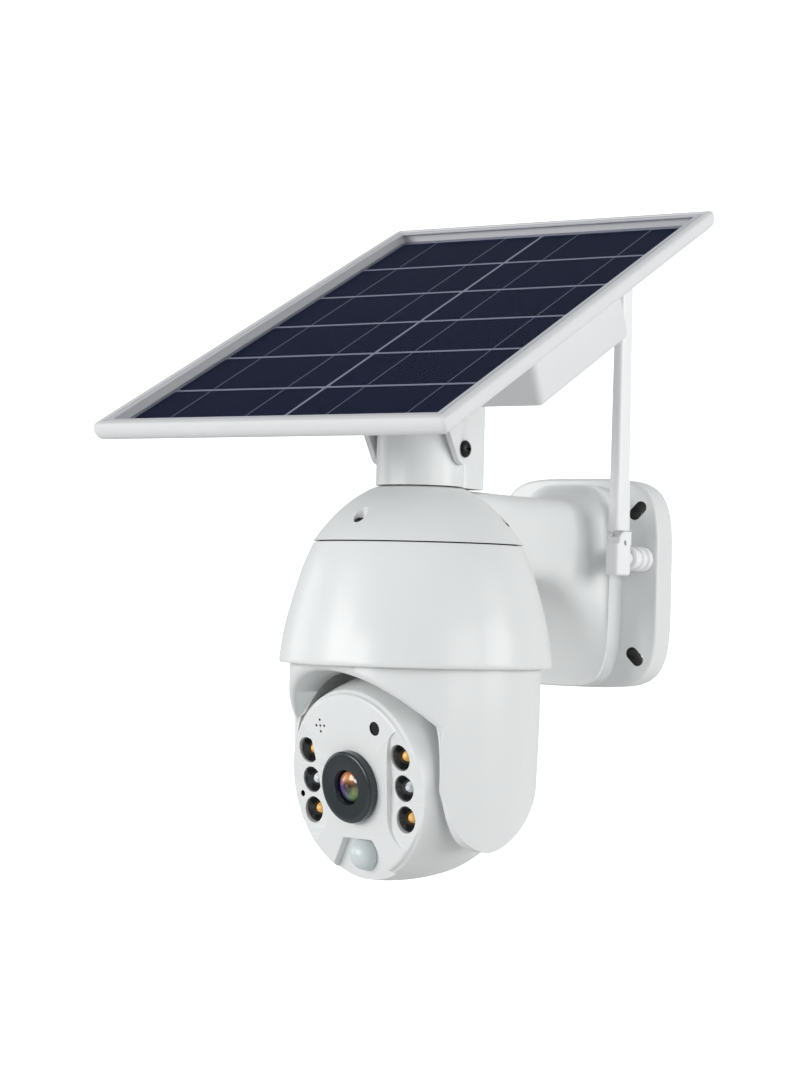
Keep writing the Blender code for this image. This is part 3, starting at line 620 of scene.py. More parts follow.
ARCH_R, ARCH_Z, DRUM_R = 57.0, -12.0, 56.2


def arch_cutter():
    """An arch-shaped plug along -Y that flares outwards where it leaves the drum's round front.

    Each row is the same arch drawn at a larger radius; a row lies at a set distance from the drum.
    """
    t = np.radians(np.linspace(-75, 75, 120))
    rows = []
    for swell, gap in ((0, None), (0, 3.4), (0.35, 2.2), (1.1, 1.1), (2.3, 0.2), (4.0, -0.8), (8.0, -3.0),
                       (8.0, 40.0)):
        x = (ARCH_R + swell) * np.sin(t)
        z = ARCH_Z + (ARCH_R + swell) * np.cos(t)
        skin = np.sqrt(np.clip(DRUM_R ** 2 - x ** 2, 0, None))
        y = np.full_like(x, -CHEEK_FRONT) if gap is None else np.maximum(skin - gap, -CHEEK_FRONT + 0.02)
        if gap == 40.0:
            y = np.full_like(x, 90.0)
        y = np.maximum(y, rows[-1][2:-2, 2] + 0.01) if rows else y
        legs = np.array([(-70, -60), (-70, z[0]), (70, z[-1]), (70, -60)])
        row = np.vstack((legs[:2], np.stack((x, z), -1), legs[2:]))
        rows.append(np.column_stack((row, np.concatenate(([y[0]] * 2, y, [y[-1]] * 2)))))
    return grid_mesh("arch", moved(np.array(rows), AXLE @ FORWARD), wrap_columns=True, caps=(True, True))


cut(yoke, arch_cutter())
SCOOP = [(-28.8, -5), (-26.9, -10), (-23.8, -18), (-18.9, -25.5), (-12.8, -30), (-4.4, -32), (7.2, -28),
         (21.6, -19), (42, -3), (64, 12)]
scoop = np.vstack(([(-31.0, 4.0)], smooth_profile(SCOOP, 10), [(70, -60), (-70, -60), (-70, 4.0)]))
cut(yoke, prism("scoop", scoop, -80.0, 80.0, edge_on(AXLE)))
soften(yoke, 0.45, 2, 38)
hub = [(0, -8.1), (8.3, -8.1), (8.3, -14.4), (9.7, -14.4), (9.7, -30), (0, -30)]
join(yoke, revolve("hub", hub, PAN, 64))
join(yoke, cylinder_across("peg", 4.7, -51.0, -43.5, 48))
cut(yoke, cylinder_across("socket", 3.3, 47.0, 52.5, 32))
cut(yoke, revolve("cable_way", rod(5.5, 10, -45), PAN, 40))
dress(yoke, SHELL, "turret", "white_shell", "yoke")

# ------------------------------------------------------------------ head shells
# The white ball that holds the lens. Its front face is flat, with the two lamp areas sunk beside a
# middle band and fading out at its ends, a notch for the motion sensor, and drilled holes.
BALL_R, FACE_R, FACE_H, SEAM = 47.5, 41.0, 36.5, -9.0
HEAD = TILT @ FORWARD


def ball(h):
    """Outer radius at a distance in front of the tilt axis: sphere behind, drawn in ahead."""
    h = np.asarray(h, float)
    behind = np.sqrt(np.clip(BALL_R ** 2 - np.minimum(h, 0) ** 2, 0, None))
    ahead = BALL_R - (BALL_R - FACE_R - 0.6) * (np.maximum(h, 0) / FACE_H) ** 2
    return np.where(h <= 0, behind, ahead)


def on_face(x, y):
    """Matrix for a piece that stands on the face at x right and y up of its centre."""
    return HEAD @ Matrix.Translation((x, y, 0))


round_over = np.radians(np.linspace(0, 90, 8))
EDGE_R = 1.6
face_edge = np.stack((FACE_R - EDGE_R + EDGE_R * np.sin(round_over),
                      FACE_H - EDGE_R + EDGE_R * np.cos(round_over)), -1)
h_out = np.linspace(34.0, SEAM, 28)
h_in = np.linspace(SEAM, 31.0, 14)
front_profile = np.vstack(([(0, FACE_H)], face_edge, np.stack((ball(h_out), h_out), -1),
                           np.stack((ball(h_in) - 2.3, h_in), -1), [(0, 31.0)]))
face = revolve("head_front", front_profile, HEAD, 224)
STEP, FADE_END, NOTCH_DEPTH, PIR_Y = 2.7, 27.5, 4.0, -31.3
BAND = [(31.9, 26.5), (25.2, 20.4), (22.1, 1.1), (20.6, -16.6), (25.9, -24.4)]
rise = np.linspace(-40, 40, 81)
fade = np.stack((rise, FACE_H - STEP * (1 - (rise / FADE_END) ** 2)), -1)
under_floor = np.vstack((fade, [(41, FACE_H - 9), (-41, FACE_H - 9)]))
for side in (1, -1):
    edge = smooth_profile([(36, 28.5)] + BAND + [(33, -28.5)], 6)
    area = np.vstack(([(60, 34)], edge, [(60, -34)]))
    area[:, 0] *= side
    sunk = prism("lamp_area", area[::side], FACE_H - STEP - 1, FACE_H + 10, HEAD)
    cut(sunk, prism("below", under_floor, -70.0, 70.0, edge_on(HEAD)))
    cut(face, sunk)
notch = [(-9.5, -23.6), (9.5, -23.6), (24, -46), (-24, -46)]
cut(face, prism("notch", notch[::-1], FACE_H - NOTCH_DEPTH, FACE_H + 10, HEAD))
soften(face, 0.55, 3, 30)
LEDS = [(side * 30.0, height) for side in (-1, 1) for height in (14.0, 0.4, -13.2)]
face.data.materials.append(SHELL)


def drill(piece, x, y, radius, dark, steps=48, low=20.0):
    """A round hole through the face; a dark one has its wall painted black as painted shade."""
    bit = revolve("bit", rod(radius, 50, low), on_face(x, y), steps)
    if dark:
        bit.data.materials.append(PAINTED_HOLE_SHADE)
    cut(piece, bit)


drill(face, 0, 0, 13.0, False, 96)
drill(face, 0, PIR_Y, 6.5, False)
drill(face, 17.5, 26.4, 3.1, True)
drill(face, -37.2, -6.4, 1.4, True, 24)
for x, y in LEDS:
    drill(face, x, y, 5.9, False)
for x, y in ((0, 0), (2.6, 0), (-2.6, 0), (0, 2.6), (0, -2.6)):
    drill(face, -18 + x, 26 + y, 0.6, True, 16)
for radius, low, high in ((5.0, -60, -20), (4.0, 20, 60)):
    cut(face, revolve("side_hole", rod(radius, high, low), TILT @ ACROSS, 48))
dress(face, SHELL, "head", "white_shell", "face_shell")

h_back = np.linspace(SEAM - 0.3, -BALL_R, 48)
h_room = np.linspace(-BALL_R + 2.3, SEAM - 0.3, 24)
room = np.sqrt(np.clip((BALL_R - 2.3) ** 2 - h_room ** 2, 0, None))
back_profile = np.vstack((np.stack((ball(h_back), h_back), -1), np.stack((room, h_room), -1)))
rear = revolve("head_rear", back_profile, HEAD, 192, ring=True)
dress(rear, SHELL, "head", "white_shell", "rear_shell")

# ------------------------------------------------------------------ lens
# A slate-black glossy disc, the barrel behind it, and the domed front element in its middle, painted
# with the coating's reflections: orange above, violet to the left and green below.
LENS_BLACK = moulded("lens_slate", (0.018, 0.026, 0.03), (0.012, 0.018, 0.021), 0.2, 700.0, 0.02,
                     coat=0.4)
disc = [(15.0, 41.1), (15.6, 40.8), (16.0, 40.2), (16.0, 36.8), (7.6, 36.8), (7.6, 39.9), (7.9, 40.6),
        (13.6, 41.15)]
ring = revolve("lens_disc", disc, HEAD, 160, ring=True)
dress(ring, LENS_BLACK, "head", "lens_black", "lens_ring")
barrel_profile = [(0, 36.2), (6.2, 36.2), (6.4, 37.1), (7.3, 37.1), (7.3, 22.0), (9.0, 22.0), (9.0, 18.4),
                  (0, 18.4)]
barrel = revolve("lens_tube", barrel_profile, HEAD, 96)
BARREL_BLACK = moulded("barrel_black", (0.01, 0.01, 0.012), (0.03, 0.026, 0.03), 0.25)
dress(barrel, BARREL_BLACK, "head", "lens_black", "lens_barrel")


def fill_ramp(ramp, stops):
    """Colour ramp stops as (position, colour)."""
    while len(ramp.elements) < len(stops):
        ramp.elements.new(0.5)
    for element, (position, colour) in zip(ramp.elements, stops):
        element.position = position
        element.color = (*colour, 1)


LENS_R = 7.2


def lens_painted_reflections():
    """Painted coating reflections: colour turns with the angle round the lens axis, bright rings run round
    it, and the middle stays dark.
    """
    look, nodes, links, shader = new_look("lens_reflections_painted")
    place = object_place(nodes)
    centre = value_node(nodes, 'ShaderNodeMapping', vector_type='TEXTURE')
    middle = HEAD @ Vector((0, 0, 37.6))
    preset(centre, Location=[value * MM for value in middle], Rotation=HEAD.to_euler(),
           Scale=(LENS_R * MM, LENS_R * MM, LENS_R * MM))
    links.new(place, centre.inputs["Vector"])
    split = nodes.new('ShaderNodeSeparateXYZ')
    links.new(centre.outputs["Vector"], split.inputs["Vector"])
    angle = value_node(nodes, 'ShaderNodeMath', operation='ARCTAN2')
    links.new(split.outputs["Y"], angle.inputs[0])
    links.new(split.outputs["X"], angle.inputs[1])
    share = nodes.new('ShaderNodeMapRange')
    preset(share, From_Min=-math.pi, From_Max=math.pi)
    links.new(angle.outputs[0], share.inputs["Value"])
    reflection_hues = nodes.new('ShaderNodeValToRGB')
    fill_ramp(reflection_hues.color_ramp, [
        (0.0, (0.16, 0.05, 0.32)), (0.14, (0.08, 0.07, 0.2)), (0.3, (0.1, 0.2, 0.06)),
        (0.42, (0.2, 0.26, 0.06)), (0.55, (0.10, 0.05, 0.04)), (0.68, (0.75, 0.28, 0.08)),
        (0.8, (0.8, 0.36, 0.14)), (1.0, (0.16, 0.05, 0.32))])
    links.new(share.outputs["Result"], reflection_hues.inputs["Fac"])
    distance = value_node(nodes, 'ShaderNodeVectorMath', operation='LENGTH')
    links.new(centre.outputs["Vector"], distance.inputs[0])
    # Bright rings of painted reflection, by distance from the lens axis.
    rings = nodes.new('ShaderNodeValToRGB')
    reflection_bands = [(0.0, 0.0), (0.22, 0.02), (0.3, 0.5), (0.42, 0.12), (0.62, 1.0), (0.86, 0.75), (1.0, 0.05)]
    fill_ramp(rings.color_ramp, [(position, (level, level, level)) for position, level in reflection_bands])
    links.new(distance.outputs["Value"], rings.inputs["Fac"])
    tint = value_node(nodes, 'ShaderNodeMix', data_type='RGBA', blend_type='MULTIPLY')
    preset(tint, Factor=1.0)
    links.new(reflection_hues.outputs["Color"], tint.inputs["A"])
    links.new(rings.outputs["Color"], tint.inputs["B"])
    links.new(tint.outputs["Result"], shader.inputs["Base Color"])
    preset(shader, Roughness=0.08, Coat_Weight=1.0, Coat_Roughness=0.03)
    return look


bulge = crown(LENS_R, 37.4, 2.7, 80, 16)
element_foot = [(LENS_R, 37.3), (5.9, 37.3), (5.9, 36.4), (0, 36.4)]
lens = revolve("front_element", np.vstack((bulge, element_foot)), HEAD, 96)
dress(lens, lens_painted_reflections(), "head", "lens_glass", "lens_glass")

# ------------------------------------------------------------------ lamps
# Six lamps in black cups: the upper and lower ones amber, the middle ones clear. Each is a turned
# cup with a low domed chip in it.
CUP = moulded("lamp_cup", (0.008, 0.009, 0.01), (0.02, 0.021, 0.023), 0.1, 600.0, 0.02, coat=0.7)


def chip_with_painted_glow(name, colour, deep):
    """A lamp chip: bright and deeper tints in small facets, with a faint painted glow for its glint."""
    look, nodes, links, shader = new_look(name)
    place = object_place(nodes)
    facets = nodes.new('ShaderNodeTexVoronoi')
    preset(facets, Scale=460.0)
    mix = value_node(nodes, 'ShaderNodeMix', data_type='RGBA')
    preset(mix, A=(*colour, 1), B=(*deep, 1))
    links.new(place, facets.inputs["Vector"])
    links.new(facets.outputs["Distance"], mix.inputs["Factor"])
    links.new(mix.outputs["Result"], shader.inputs["Base Color"])
    links.new(mix.outputs["Result"], shader.inputs["Emission Color"])
    # The emission is a painted glow standing in for the glint on the chip.
    preset(shader, Emission_Strength=0.35, Roughness=0.15)
    return look


AMBER = chip_with_painted_glow("amber_chip", (0.95, 0.62, 0.22), (0.5, 0.24, 0.05))
CLEAR = chip_with_painted_glow("clear_chip", (0.85, 0.88, 0.9), (0.25, 0.27, 0.3))
for number, (x, y) in enumerate(LEDS, 1):
    top = FACE_H - STEP - 0.4
    profile = [(0, top - 4.6), (2.6, top - 4.6), (4.1, top - 2.6), (5.0, top - 0.5), (5.3, top - 0.05),
               (5.6, top - 0.2), (5.6, 26.8), (0, 26.8)]
    cup = revolve(f"lamp_cup_{number}", profile, on_face(x, y), 64)
    dress(cup, CUP, "head", "led_reflector", f"led_{number}")
    t = np.radians(np.linspace(0, 90, 12))
    dome_profile = np.stack((2.5 * np.sin(t), top - 4.5 + 3.4 * np.cos(t)), -1)
    chip = revolve(f"lamp_chip_{number}", np.vstack((dome_profile, [(0, top - 4.5)])), on_face(x, y), 32)
    dress(chip, CLEAR if number % 3 == 2 else AMBER, "head", "led_reflector")

# ------------------------------------------------------------------ motion sensor and light sensor
# A milky moulded half dome in the notch. The black window above the lens is a carried-over piece.
MILKY = moulded("milky_dome", (0.72, 0.77, 0.77), (0.6, 0.67, 0.68), 0.22, 500.0, 0.1, coat=0.3)
preset(MILKY.node_tree.nodes["Principled BSDF"], Subsurface_Weight=0.25, Subsurface_Scale=0.002)
pir_round = crown(7.3, 33.0, 6.6, 82, 24)
pir_foot = [(6.2, 32.9), (6.2, 27.0), (0, 27.0)]
pir = revolve("sensor_dome", np.vstack((pir_round, pir_foot)), on_face(0, PIR_Y), 72)
dress(pir, MILKY, "head", "milky_lens", "pir_dome")

# ------------------------------------------------------------------ solar panel frame
# White rails round the glass: an inner lip coloured greyer as painted shade, a fine shadow groove
# and an outer rail that curves in below, with nearly mitred corners.
PANEL_REST = 25.5
PANEL = Matrix.Translation((0, PAN_Y, HINGE_Z)) @ turn('X', PANEL_REST)
GLASS_U, GLASS_V0, GLASS_V1, GLASS_N = 81.0, 22.0 - 128.0, 22.0 + 128.0, 56.4


def framed(name, profile, u, v0, v1, corner, place, count=8, ring=True, power=2.0):
    """A profile of (outward, up) points carried round a rectangle.

    Each corner is a quarter of |x|^p + |y|^p = reach^p: round at p = 2, nearly mitred at p = 8.
    """
    profile = np.array(profile, float)
    t = np.radians(np.linspace(0, 90, count))
    centres = ((u - corner, v1 - corner), (-u + corner, v1 - corner), (-u + corner, v0 + corner),
               (u - corner, v0 + corner))
    angle = np.concatenate([t + i * np.pi / 2 for i in range(4)])
    x0 = np.repeat([c[0] for c in centres], count)
    y0 = np.repeat([c[1] for c in centres], count)
    reach = corner + profile[:, :1]
    c, s = np.round(np.cos(angle), 9), np.round(np.sin(angle), 9)
    points = np.stack((x0 + reach * np.sign(c) * abs(c) ** (2 / power),
                       y0 + reach * np.sign(s) * abs(s) ** (2 / power), profile[:, 1:] + 0 * angle), -1)
    if ring:
        return grid_mesh(name, moved(points, place), wrap_rows=True, wrap_columns=True)
    return grid_mesh(name, moved(points, place), wrap_columns=True, caps=(True, True))


RAIL_PROFILE = [(3.15, 0.3), (3.15, 1.1), (3.35, 1.4), (5.0, 1.5), (6.0, 1.25), (6.7, 0.6), (7.0, -0.5),
                (7.0, -2.2), (6.75, -3.6), (6.2, -4.9), (5.4, -5.9), (4.4, -6.5), (3.4, -6.7), (2.2, -6.7),
                (2.2, 0.3)]
LIP_PROFILE = [(0.0, 0.38), (0.0, 1.0), (0.25, 1.25), (2.55, 1.25), (2.8, 1.0), (2.8, 0.38)]
PANEL_WHITE = moulded("panel_white", (0.80, 0.81, 0.81), (0.77, 0.78, 0.785), 0.34)
# The lip's greyer lavender colour is painted shade for its upward-facing top.
PAINTED_SHADE_LIP = moulded("panel_lip", (0.64, 0.65, 0.69), (0.60, 0.61, 0.65), 0.4)
rail_points = [(o, n + GLASS_N) for o, n in RAIL_PROFILE]
rails = framed("panel_rails", rail_points, GLASS_U, GLASS_V0, GLASS_V1, 0.6, PANEL, 12, power=8.0)
lip_points = [(o, n + GLASS_N) for o, n in LIP_PROFILE]
lip = framed("panel_lip", lip_points, GLASS_U, GLASS_V0, GLASS_V1, 0.6, PANEL, 12, power=8.0)
dress(lip, PAINTED_SHADE_LIP, "solar_panel", "panel_plastic", angle=28)
dress(rails, PANEL_WHITE, "solar_panel", "panel_plastic", "panel_frame", angle=28)

# ------------------------------------------------------------------ battery box
# White tray under the panel with a rounded lower edge, closed below by a lid set into it, 0.3 mm
# clear all round.
BOX_U, BOX_V0, BOX_V1, BOX_N0, BOX_N1 = 79.0, -21.0, 68.0, 26.4, 50.0
case_profile = [(0, BOX_N1 - 0.3), (0, BOX_N0 + 3.2), (-0.4, BOX_N0 + 1.9), (-1.2, BOX_N0 + 0.9),
                (-2.2, BOX_N0 + 0.4), (-2.8, BOX_N0 + 0.4), (-2.8, BOX_N1 - 0.3)]
case = framed("battery_case", case_profile, BOX_U, BOX_V0, BOX_V1, 3.5, PANEL, 14)
dress(case, PANEL_WHITE, "solar_panel", "panel_plastic", "battery_box")
lid_profile = [(-60, BOX_N0 + 2.0), (-3.1, BOX_N0 + 2.0), (-3.1, BOX_N0 + 0.3), (-3.4, BOX_N0)]
lid = framed("battery_lid", lid_profile, BOX_U, BOX_V0, BOX_V1, 3.5, PANEL, 14, ring=False)
dress(lid, PANEL_WHITE, "solar_panel", "panel_plastic", "battery_cover")

# ------------------------------------------------------------------ hinge bracket
# A white plate under the battery box with two rounded ears; the ears clip either side of the post
# and are clamped by the black hinge bolts.
EAR_X, EAR_T, EAR_R, EAR_W = 20.2, 2.6, 7.0, 11.0
base = BOX_N0 - 0.3
hanger = prism("hinge_ears", round_box(-23, 23, -15, 15, 3), base - 2.0, base, PANEL)
ear_bend = np.radians(np.linspace(0, -180, 40))
ear = np.vstack(([(-EAR_W, base - 1), (EAR_W, base - 1)],
                 np.stack((EAR_R * np.cos(ear_bend), EAR_R * np.sin(ear_bend)), -1)))
for side in (-1, 1):
    a, b = sorted((side * EAR_X, side * (EAR_X + EAR_T)))
    join(hanger, prism("ear", ear, a, b, edge_on(PANEL)))
cut(hanger, revolve("ear_bore", rod(2.3, 40, -40), PANEL @ ACROSS, 32))
soften(hanger, 0.5, 2, 40)
dress(hanger, PANEL_WHITE, "solar_panel", "panel_plastic", "panel_bracket")

# ------------------------------------------------------------------ antenna
# A threaded connector with rings screwed into the plate, a narrow swivel knuckle with a fork, and
# the flat whip, a little deeper over its first 22 mm and narrowing to its tip.
AERIAL_XYZ, FOLD_Z, KNUCKLE_W, KNUCKLE_D, BARREL_R = (36.5, -42.0, 12.0), 7.3, 3.8, 7.2, 5.5
AERIAL = Matrix.Translation(AERIAL_XYZ)
WALL_Y = turn('X', -90)           # takes +Z to +Y
# Whiter than the shell plastic: the extra whiteness is painted light, so that the whip's lit side comes out
# brighter.
ANTENNA_WHITE_PAINTED_LIGHT = moulded("antenna_white_painted_light", (0.92, 0.925, 0.925), (0.89, 0.895, 0.895), 0.3)
reach = -PLATE_D - AERIAL_XYZ[1]
rings = [(6.2, 0.3), (6.2, 3.6), (5.8, 4.0), (5.0, 4.2), (5.0, 6.0), (5.6, 6.2), (6.0, 6.6), (6.0, 9.6),
         (5.6, 10.0), (5.0, 10.2), (5.0, 13.1), (5.5, 13.4), (5.6, 13.8), (5.6, 17.0)]
turned_rings = [(0, reach - 0.3)] + [(r, reach - d) for r, d in rings] + [(0, reach - 17.0)]
connector = revolve("antenna_socket", turned_rings, AERIAL @ WALL_Y, 64)
join(connector, revolve("thread", rod(3.0, reach + 5, reach - 1), AERIAL @ WALL_Y, 32))
dress(connector, ANTENNA_WHITE_PAINTED_LIGHT, "root", "antenna_plastic", "antenna_connector")


def tower(name, sections, power, place, count=64):
    """Superellipse sections (half x, half y, z) stacked upwards and closed at both ends."""
    unit = superellipse(1.0, 1.0, power, count)
    a, b, z = np.array(sections, float).T
    points = np.stack((a[:, None] * unit[None, :, 0], b[:, None] * unit[None, :, 1],
                       z[:, None] + 0 * unit[None, :, 0]), -1)
    return grid_mesh(name, moved(points, place), wrap_columns=True, caps=(True, True))


LOW_R, LOW_Z = 1.4, -8.5
low_end = [(KNUCKLE_W - LOW_R * (1 - math.sin(a)), KNUCKLE_D - LOW_R * (1 - math.sin(a)),
            LOW_Z + LOW_R * (1 - math.cos(a))) for a in np.radians(np.linspace(0, 90, 7))]
knuckle = tower("antenna_fork", low_end + [(KNUCKLE_W, KNUCKLE_D, FOLD_Z - 0.35)], 5.0, AERIAL)
pin_line = AERIAL @ Matrix.Translation((0, 0, FOLD_Z)) @ ACROSS
join(knuckle, revolve("barrel", [(0, 3.6), (BARREL_R - 0.5, 3.6), (BARREL_R, 3.2), (BARREL_R, -3.2),
                                 (BARREL_R - 0.5, -3.6), (0, -3.6)], pin_line, 64),
     revolve("neck", [(0, reach - 17.3), (3.6, reach - 17.3), (3.6, KNUCKLE_D - 2), (0, KNUCKLE_D - 2)],
             AERIAL @ WALL_Y, 48))
back_cheeks = round_box(-KNUCKLE_W + 0.2, KNUCKLE_W - 0.2, -1.0, KNUCKLE_D, 0.9, 5)
join(knuckle, prism("back_cheeks", back_cheeks, FOLD_Z - 1.0, FOLD_Z + BARREL_R, AERIAL))
cut(knuckle, prism("fork_gap", [(-1.7, -4.8), (1.7, -4.8), (1.7, 9.3), (-1.7, 9.3)], FOLD_Z - 5.1,
                   FOLD_Z + 10, AERIAL),
    revolve("pin_bore", rod(1.3, 10, -10), pin_line, 24))
dress(knuckle, ANTENNA_WHITE_PAINTED_LIGHT, "antenna_base", "antenna_plastic", "antenna_knuckle")

WHIP_LOW, WHIP_TOP = FOLD_Z + BARREL_R + 0.35, 140.0
shares = [(WHIP_LOW, 0.5), (WHIP_LOW + 0.15, 0.2), (WHIP_LOW + 0.5, 0.0)]
shares += [(z, (z - WHIP_LOW) / (WHIP_TOP - WHIP_LOW))
           for z in np.linspace(WHIP_LOW + 6, WHIP_TOP - 3.2, 24)]
shares += [(WHIP_TOP - 2.2, 1.15), (WHIP_TOP - 1.2, 1.5), (WHIP_TOP - 0.5, 2.0), (WHIP_TOP, 2.8)]
shoulder = [0.5 * (1 - math.tanh((z - WHIP_LOW - 22) / 3.5)) for z, _ in shares]
whip = tower("antenna_rod", [(3.4 - 0.5 * s + 0.15 * b, 6.2 - 0.9 * s + 0.65 * b, z)
                             for (z, s), b in zip(shares, shoulder)], 3.6, AERIAL)
tongue = [(-1.4, -1.9), (1.4, -1.9), (1.4, 1.9), (-1.4, 1.9)]
join(whip, prism("tongue", tongue, FOLD_Z, WHIP_LOW + 1, AERIAL),
     revolve("tongue_eye", rod(4.4, 1.4, -1.4), pin_line, 48))
cut(whip, revolve("tongue_bore", rod(1.3, 10, -10), pin_line, 24))
dress(whip, ANTENNA_WHITE_PAINTED_LIGHT, "antenna", "antenna_plastic", "antenna_whip")

# ------------------------------------------------------------------ solar cells, glass and backing
# Twelve polycrystalline cells: navy silicon broken into crystal grains, each with two printed
# bus bars, lying on a lavender-grey backing that shows as thin lines between them.
CELL_W, CELL_L, PITCH_U, PITCH_V, CELL_N = 78.0, 39.0, 79.6, 41.6, GLASS_N - 3.15


def crystal_group():
    """Grain tint for silicon from two Voronoi scales, turned into the panel's plane."""
    group, start, end = new_group(
        "silicon_grain", [("Deep", 'NodeSocketColor', (0.01, 0.013, 0.05, 1)),
                          ("Bright", 'NodeSocketColor', (0.02, 0.03, 0.09, 1))],
        [("Color", 'NodeSocketColor'), ("Height", 'NodeSocketFloat')])
    nodes, links = group.nodes, group.links
    turned_in = nodes.new('ShaderNodeMapping')
    preset(turned_in, Rotation=(math.radians(-PANEL_REST), 0, 0), Scale=(1.0, 0.55, 1.0))
    links.new(object_place(nodes), turned_in.inputs["Vector"])
    grains = nodes.new('ShaderNodeTexVoronoi')
    preset(grains, Scale=190.0)
    fine = nodes.new('ShaderNodeTexVoronoi')
    preset(fine, Scale=620.0)
    links.new(turned_in.outputs["Vector"], grains.inputs["Vector"])
    links.new(turned_in.outputs["Vector"], fine.inputs["Vector"])
    grey = nodes.new('ShaderNodeSeparateColor')
    links.new(grains.outputs["Color"], grey.inputs["Color"])
    grey_fine = nodes.new('ShaderNodeSeparateColor')
    links.new(fine.outputs["Color"], grey_fine.inputs["Color"])
    both = value_node(nodes, 'ShaderNodeMath', operation='MULTIPLY_ADD')
    both.inputs[1].default_value = 0.12
    links.new(grey_fine.outputs["Red"], both.inputs[0])
    links.new(grey.outputs["Red"], both.inputs[2])
    spread = value_node(nodes, 'ShaderNodeMapRange')
    spread.inputs["From Max"].default_value = 1.12
    links.new(both.outputs[0], spread.inputs["Value"])
    tint = value_node(nodes, 'ShaderNodeMix', data_type='RGBA')
    links.new(spread.outputs["Result"], tint.inputs["Factor"])
    links.new(start.outputs["Deep"], tint.inputs["A"])
    links.new(start.outputs["Bright"], tint.inputs["B"])
    links.new(tint.outputs["Result"], end.inputs["Color"])
    links.new(grey.outputs["Green"], end.inputs["Height"])
    return group


def silicon_cell():
    """Dull navy silicon with barely raised grains."""
    look, nodes, links, shader = new_look("silicon_cell")
    grain = value_node(nodes, 'ShaderNodeGroup', node_tree=crystal_group())
    preset(grain, Deep=(0.0065, 0.0105, 0.034, 1), Bright=(0.0075, 0.012, 0.040, 1))
    relief = nodes.new('ShaderNodeBump')
    preset(relief, Strength=0.004, Distance=0.0001)
    links.new(grain.outputs["Color"], shader.inputs["Base Color"])
    links.new(grain.outputs["Height"], relief.inputs["Height"])
    links.new(relief.outputs["Normal"], shader.inputs["Normal"])
    preset(shader, Roughness=0.5, Specular_IOR_Level=0.0)
    return look


SILICON = silicon_cell()


def cell_plate(u, v):
    """One thin cell with its four corners clipped."""
    a, b, c = CELL_W / 2, CELL_L / 2, 0.9
    outline = [(a - c, -b), (a, -b + c), (a, b - c), (a - c, b), (-a + c, b), (-a, b - c), (-a, -b + c),
               (-a + c, -b)]
    return [(u + x, v + y) for x, y in outline]


BUS = moulded("bus_bar_silver", (0.17, 0.18, 0.27), (0.14, 0.15, 0.23), 0.4, 800.0)
LINES = moulded("backing_lines", (0.33, 0.35, 0.47), (0.30, 0.32, 0.44), 0.45, 800.0)


def strips(name, rectangles, low, high):
    """Flat strips (u0, u1, v0, v1) in the panel's plane, joined into one piece."""
    made = None
    for u0, u1, v0, v1 in rectangles:
        strip = prism(name, [(u0, v0), (u1, v0), (u1, v1), (u0, v1)], low, high, PANEL)
        if made:
            join(made, strip)
        made = made or strip
    made.name = made.data.name = name
    return made


BUS_HALF, CELLS_V, FIELD_HALF_U, FIELD_HALF_V = 0.25, 22.0, 79.0, 123.5
for number in range(12):
    row, column = divmod(number, 2)
    u, v = (column - 0.5) * PITCH_U, CELLS_V + (row - 2.5) * PITCH_V
    plate = prism(f"silicon_{number + 1}", cell_plate(u, v), CELL_N - 0.28, CELL_N, PANEL)
    dress(plate, SILICON, "solar_panel", "solar_cell", f"solar_cell_{number + 1}")
    bar_lines = [(line - BUS_HALF, line + BUS_HALF, v - CELL_L / 2, v + CELL_L / 2)
                 for line in (u - CELL_W / 4, u + CELL_W / 4)]
    bars = strips(f"bus_bars_{number + 1}", bar_lines, CELL_N + 0.03, CELL_N + 0.08)
    dress(bars, BUS, "solar_panel", "solar_cell")
gap_v = (PITCH_V - CELL_L) / 2 - 0.65
rows = [(-FIELD_HALF_U, FIELD_HALF_U, v - gap_v, v + gap_v) for v in CELLS_V + PITCH_V * np.arange(-2, 3)]
gap_u = (PITCH_U - CELL_W) / 2 - 0.1
middle_line = (-gap_u, gap_u, CELLS_V - FIELD_HALF_V, CELLS_V + FIELD_HALF_V)
lines = strips("backing_lines", rows + [middle_line], CELL_N - 0.2, CELL_N)
dress(lines, LINES, "solar_panel", "panel_plastic")


def finish_nodes(look, *names):
    """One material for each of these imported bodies."""
    for name in names:
        mesh = NODES[name].data
        mesh.materials.clear()
        mesh.materials.append(look)


def solar_glass():
    """Clear toughened sheet: faint rain marks in its gloss, and the cells seen straight through."""
    look, nodes, links, shader = new_look("solar_glass")
    place = object_place(nodes)
    marks = nodes.new('ShaderNodeTexNoise')
    preset(marks, Scale=35.0, Detail=6.0)
    gloss = nodes.new('ShaderNodeMapRange')
    preset(gloss, To_Min=0.08, To_Max=0.22)
    links.new(place, marks.inputs["Vector"])
    links.new(marks.outputs["Fac"], gloss.inputs["Value"])
    links.new(gloss.outputs["Result"], shader.inputs["Roughness"])
    preset(shader, Base_Color=(0.03, 0.04, 0.09, 1.0), Alpha=0.05)
    return look


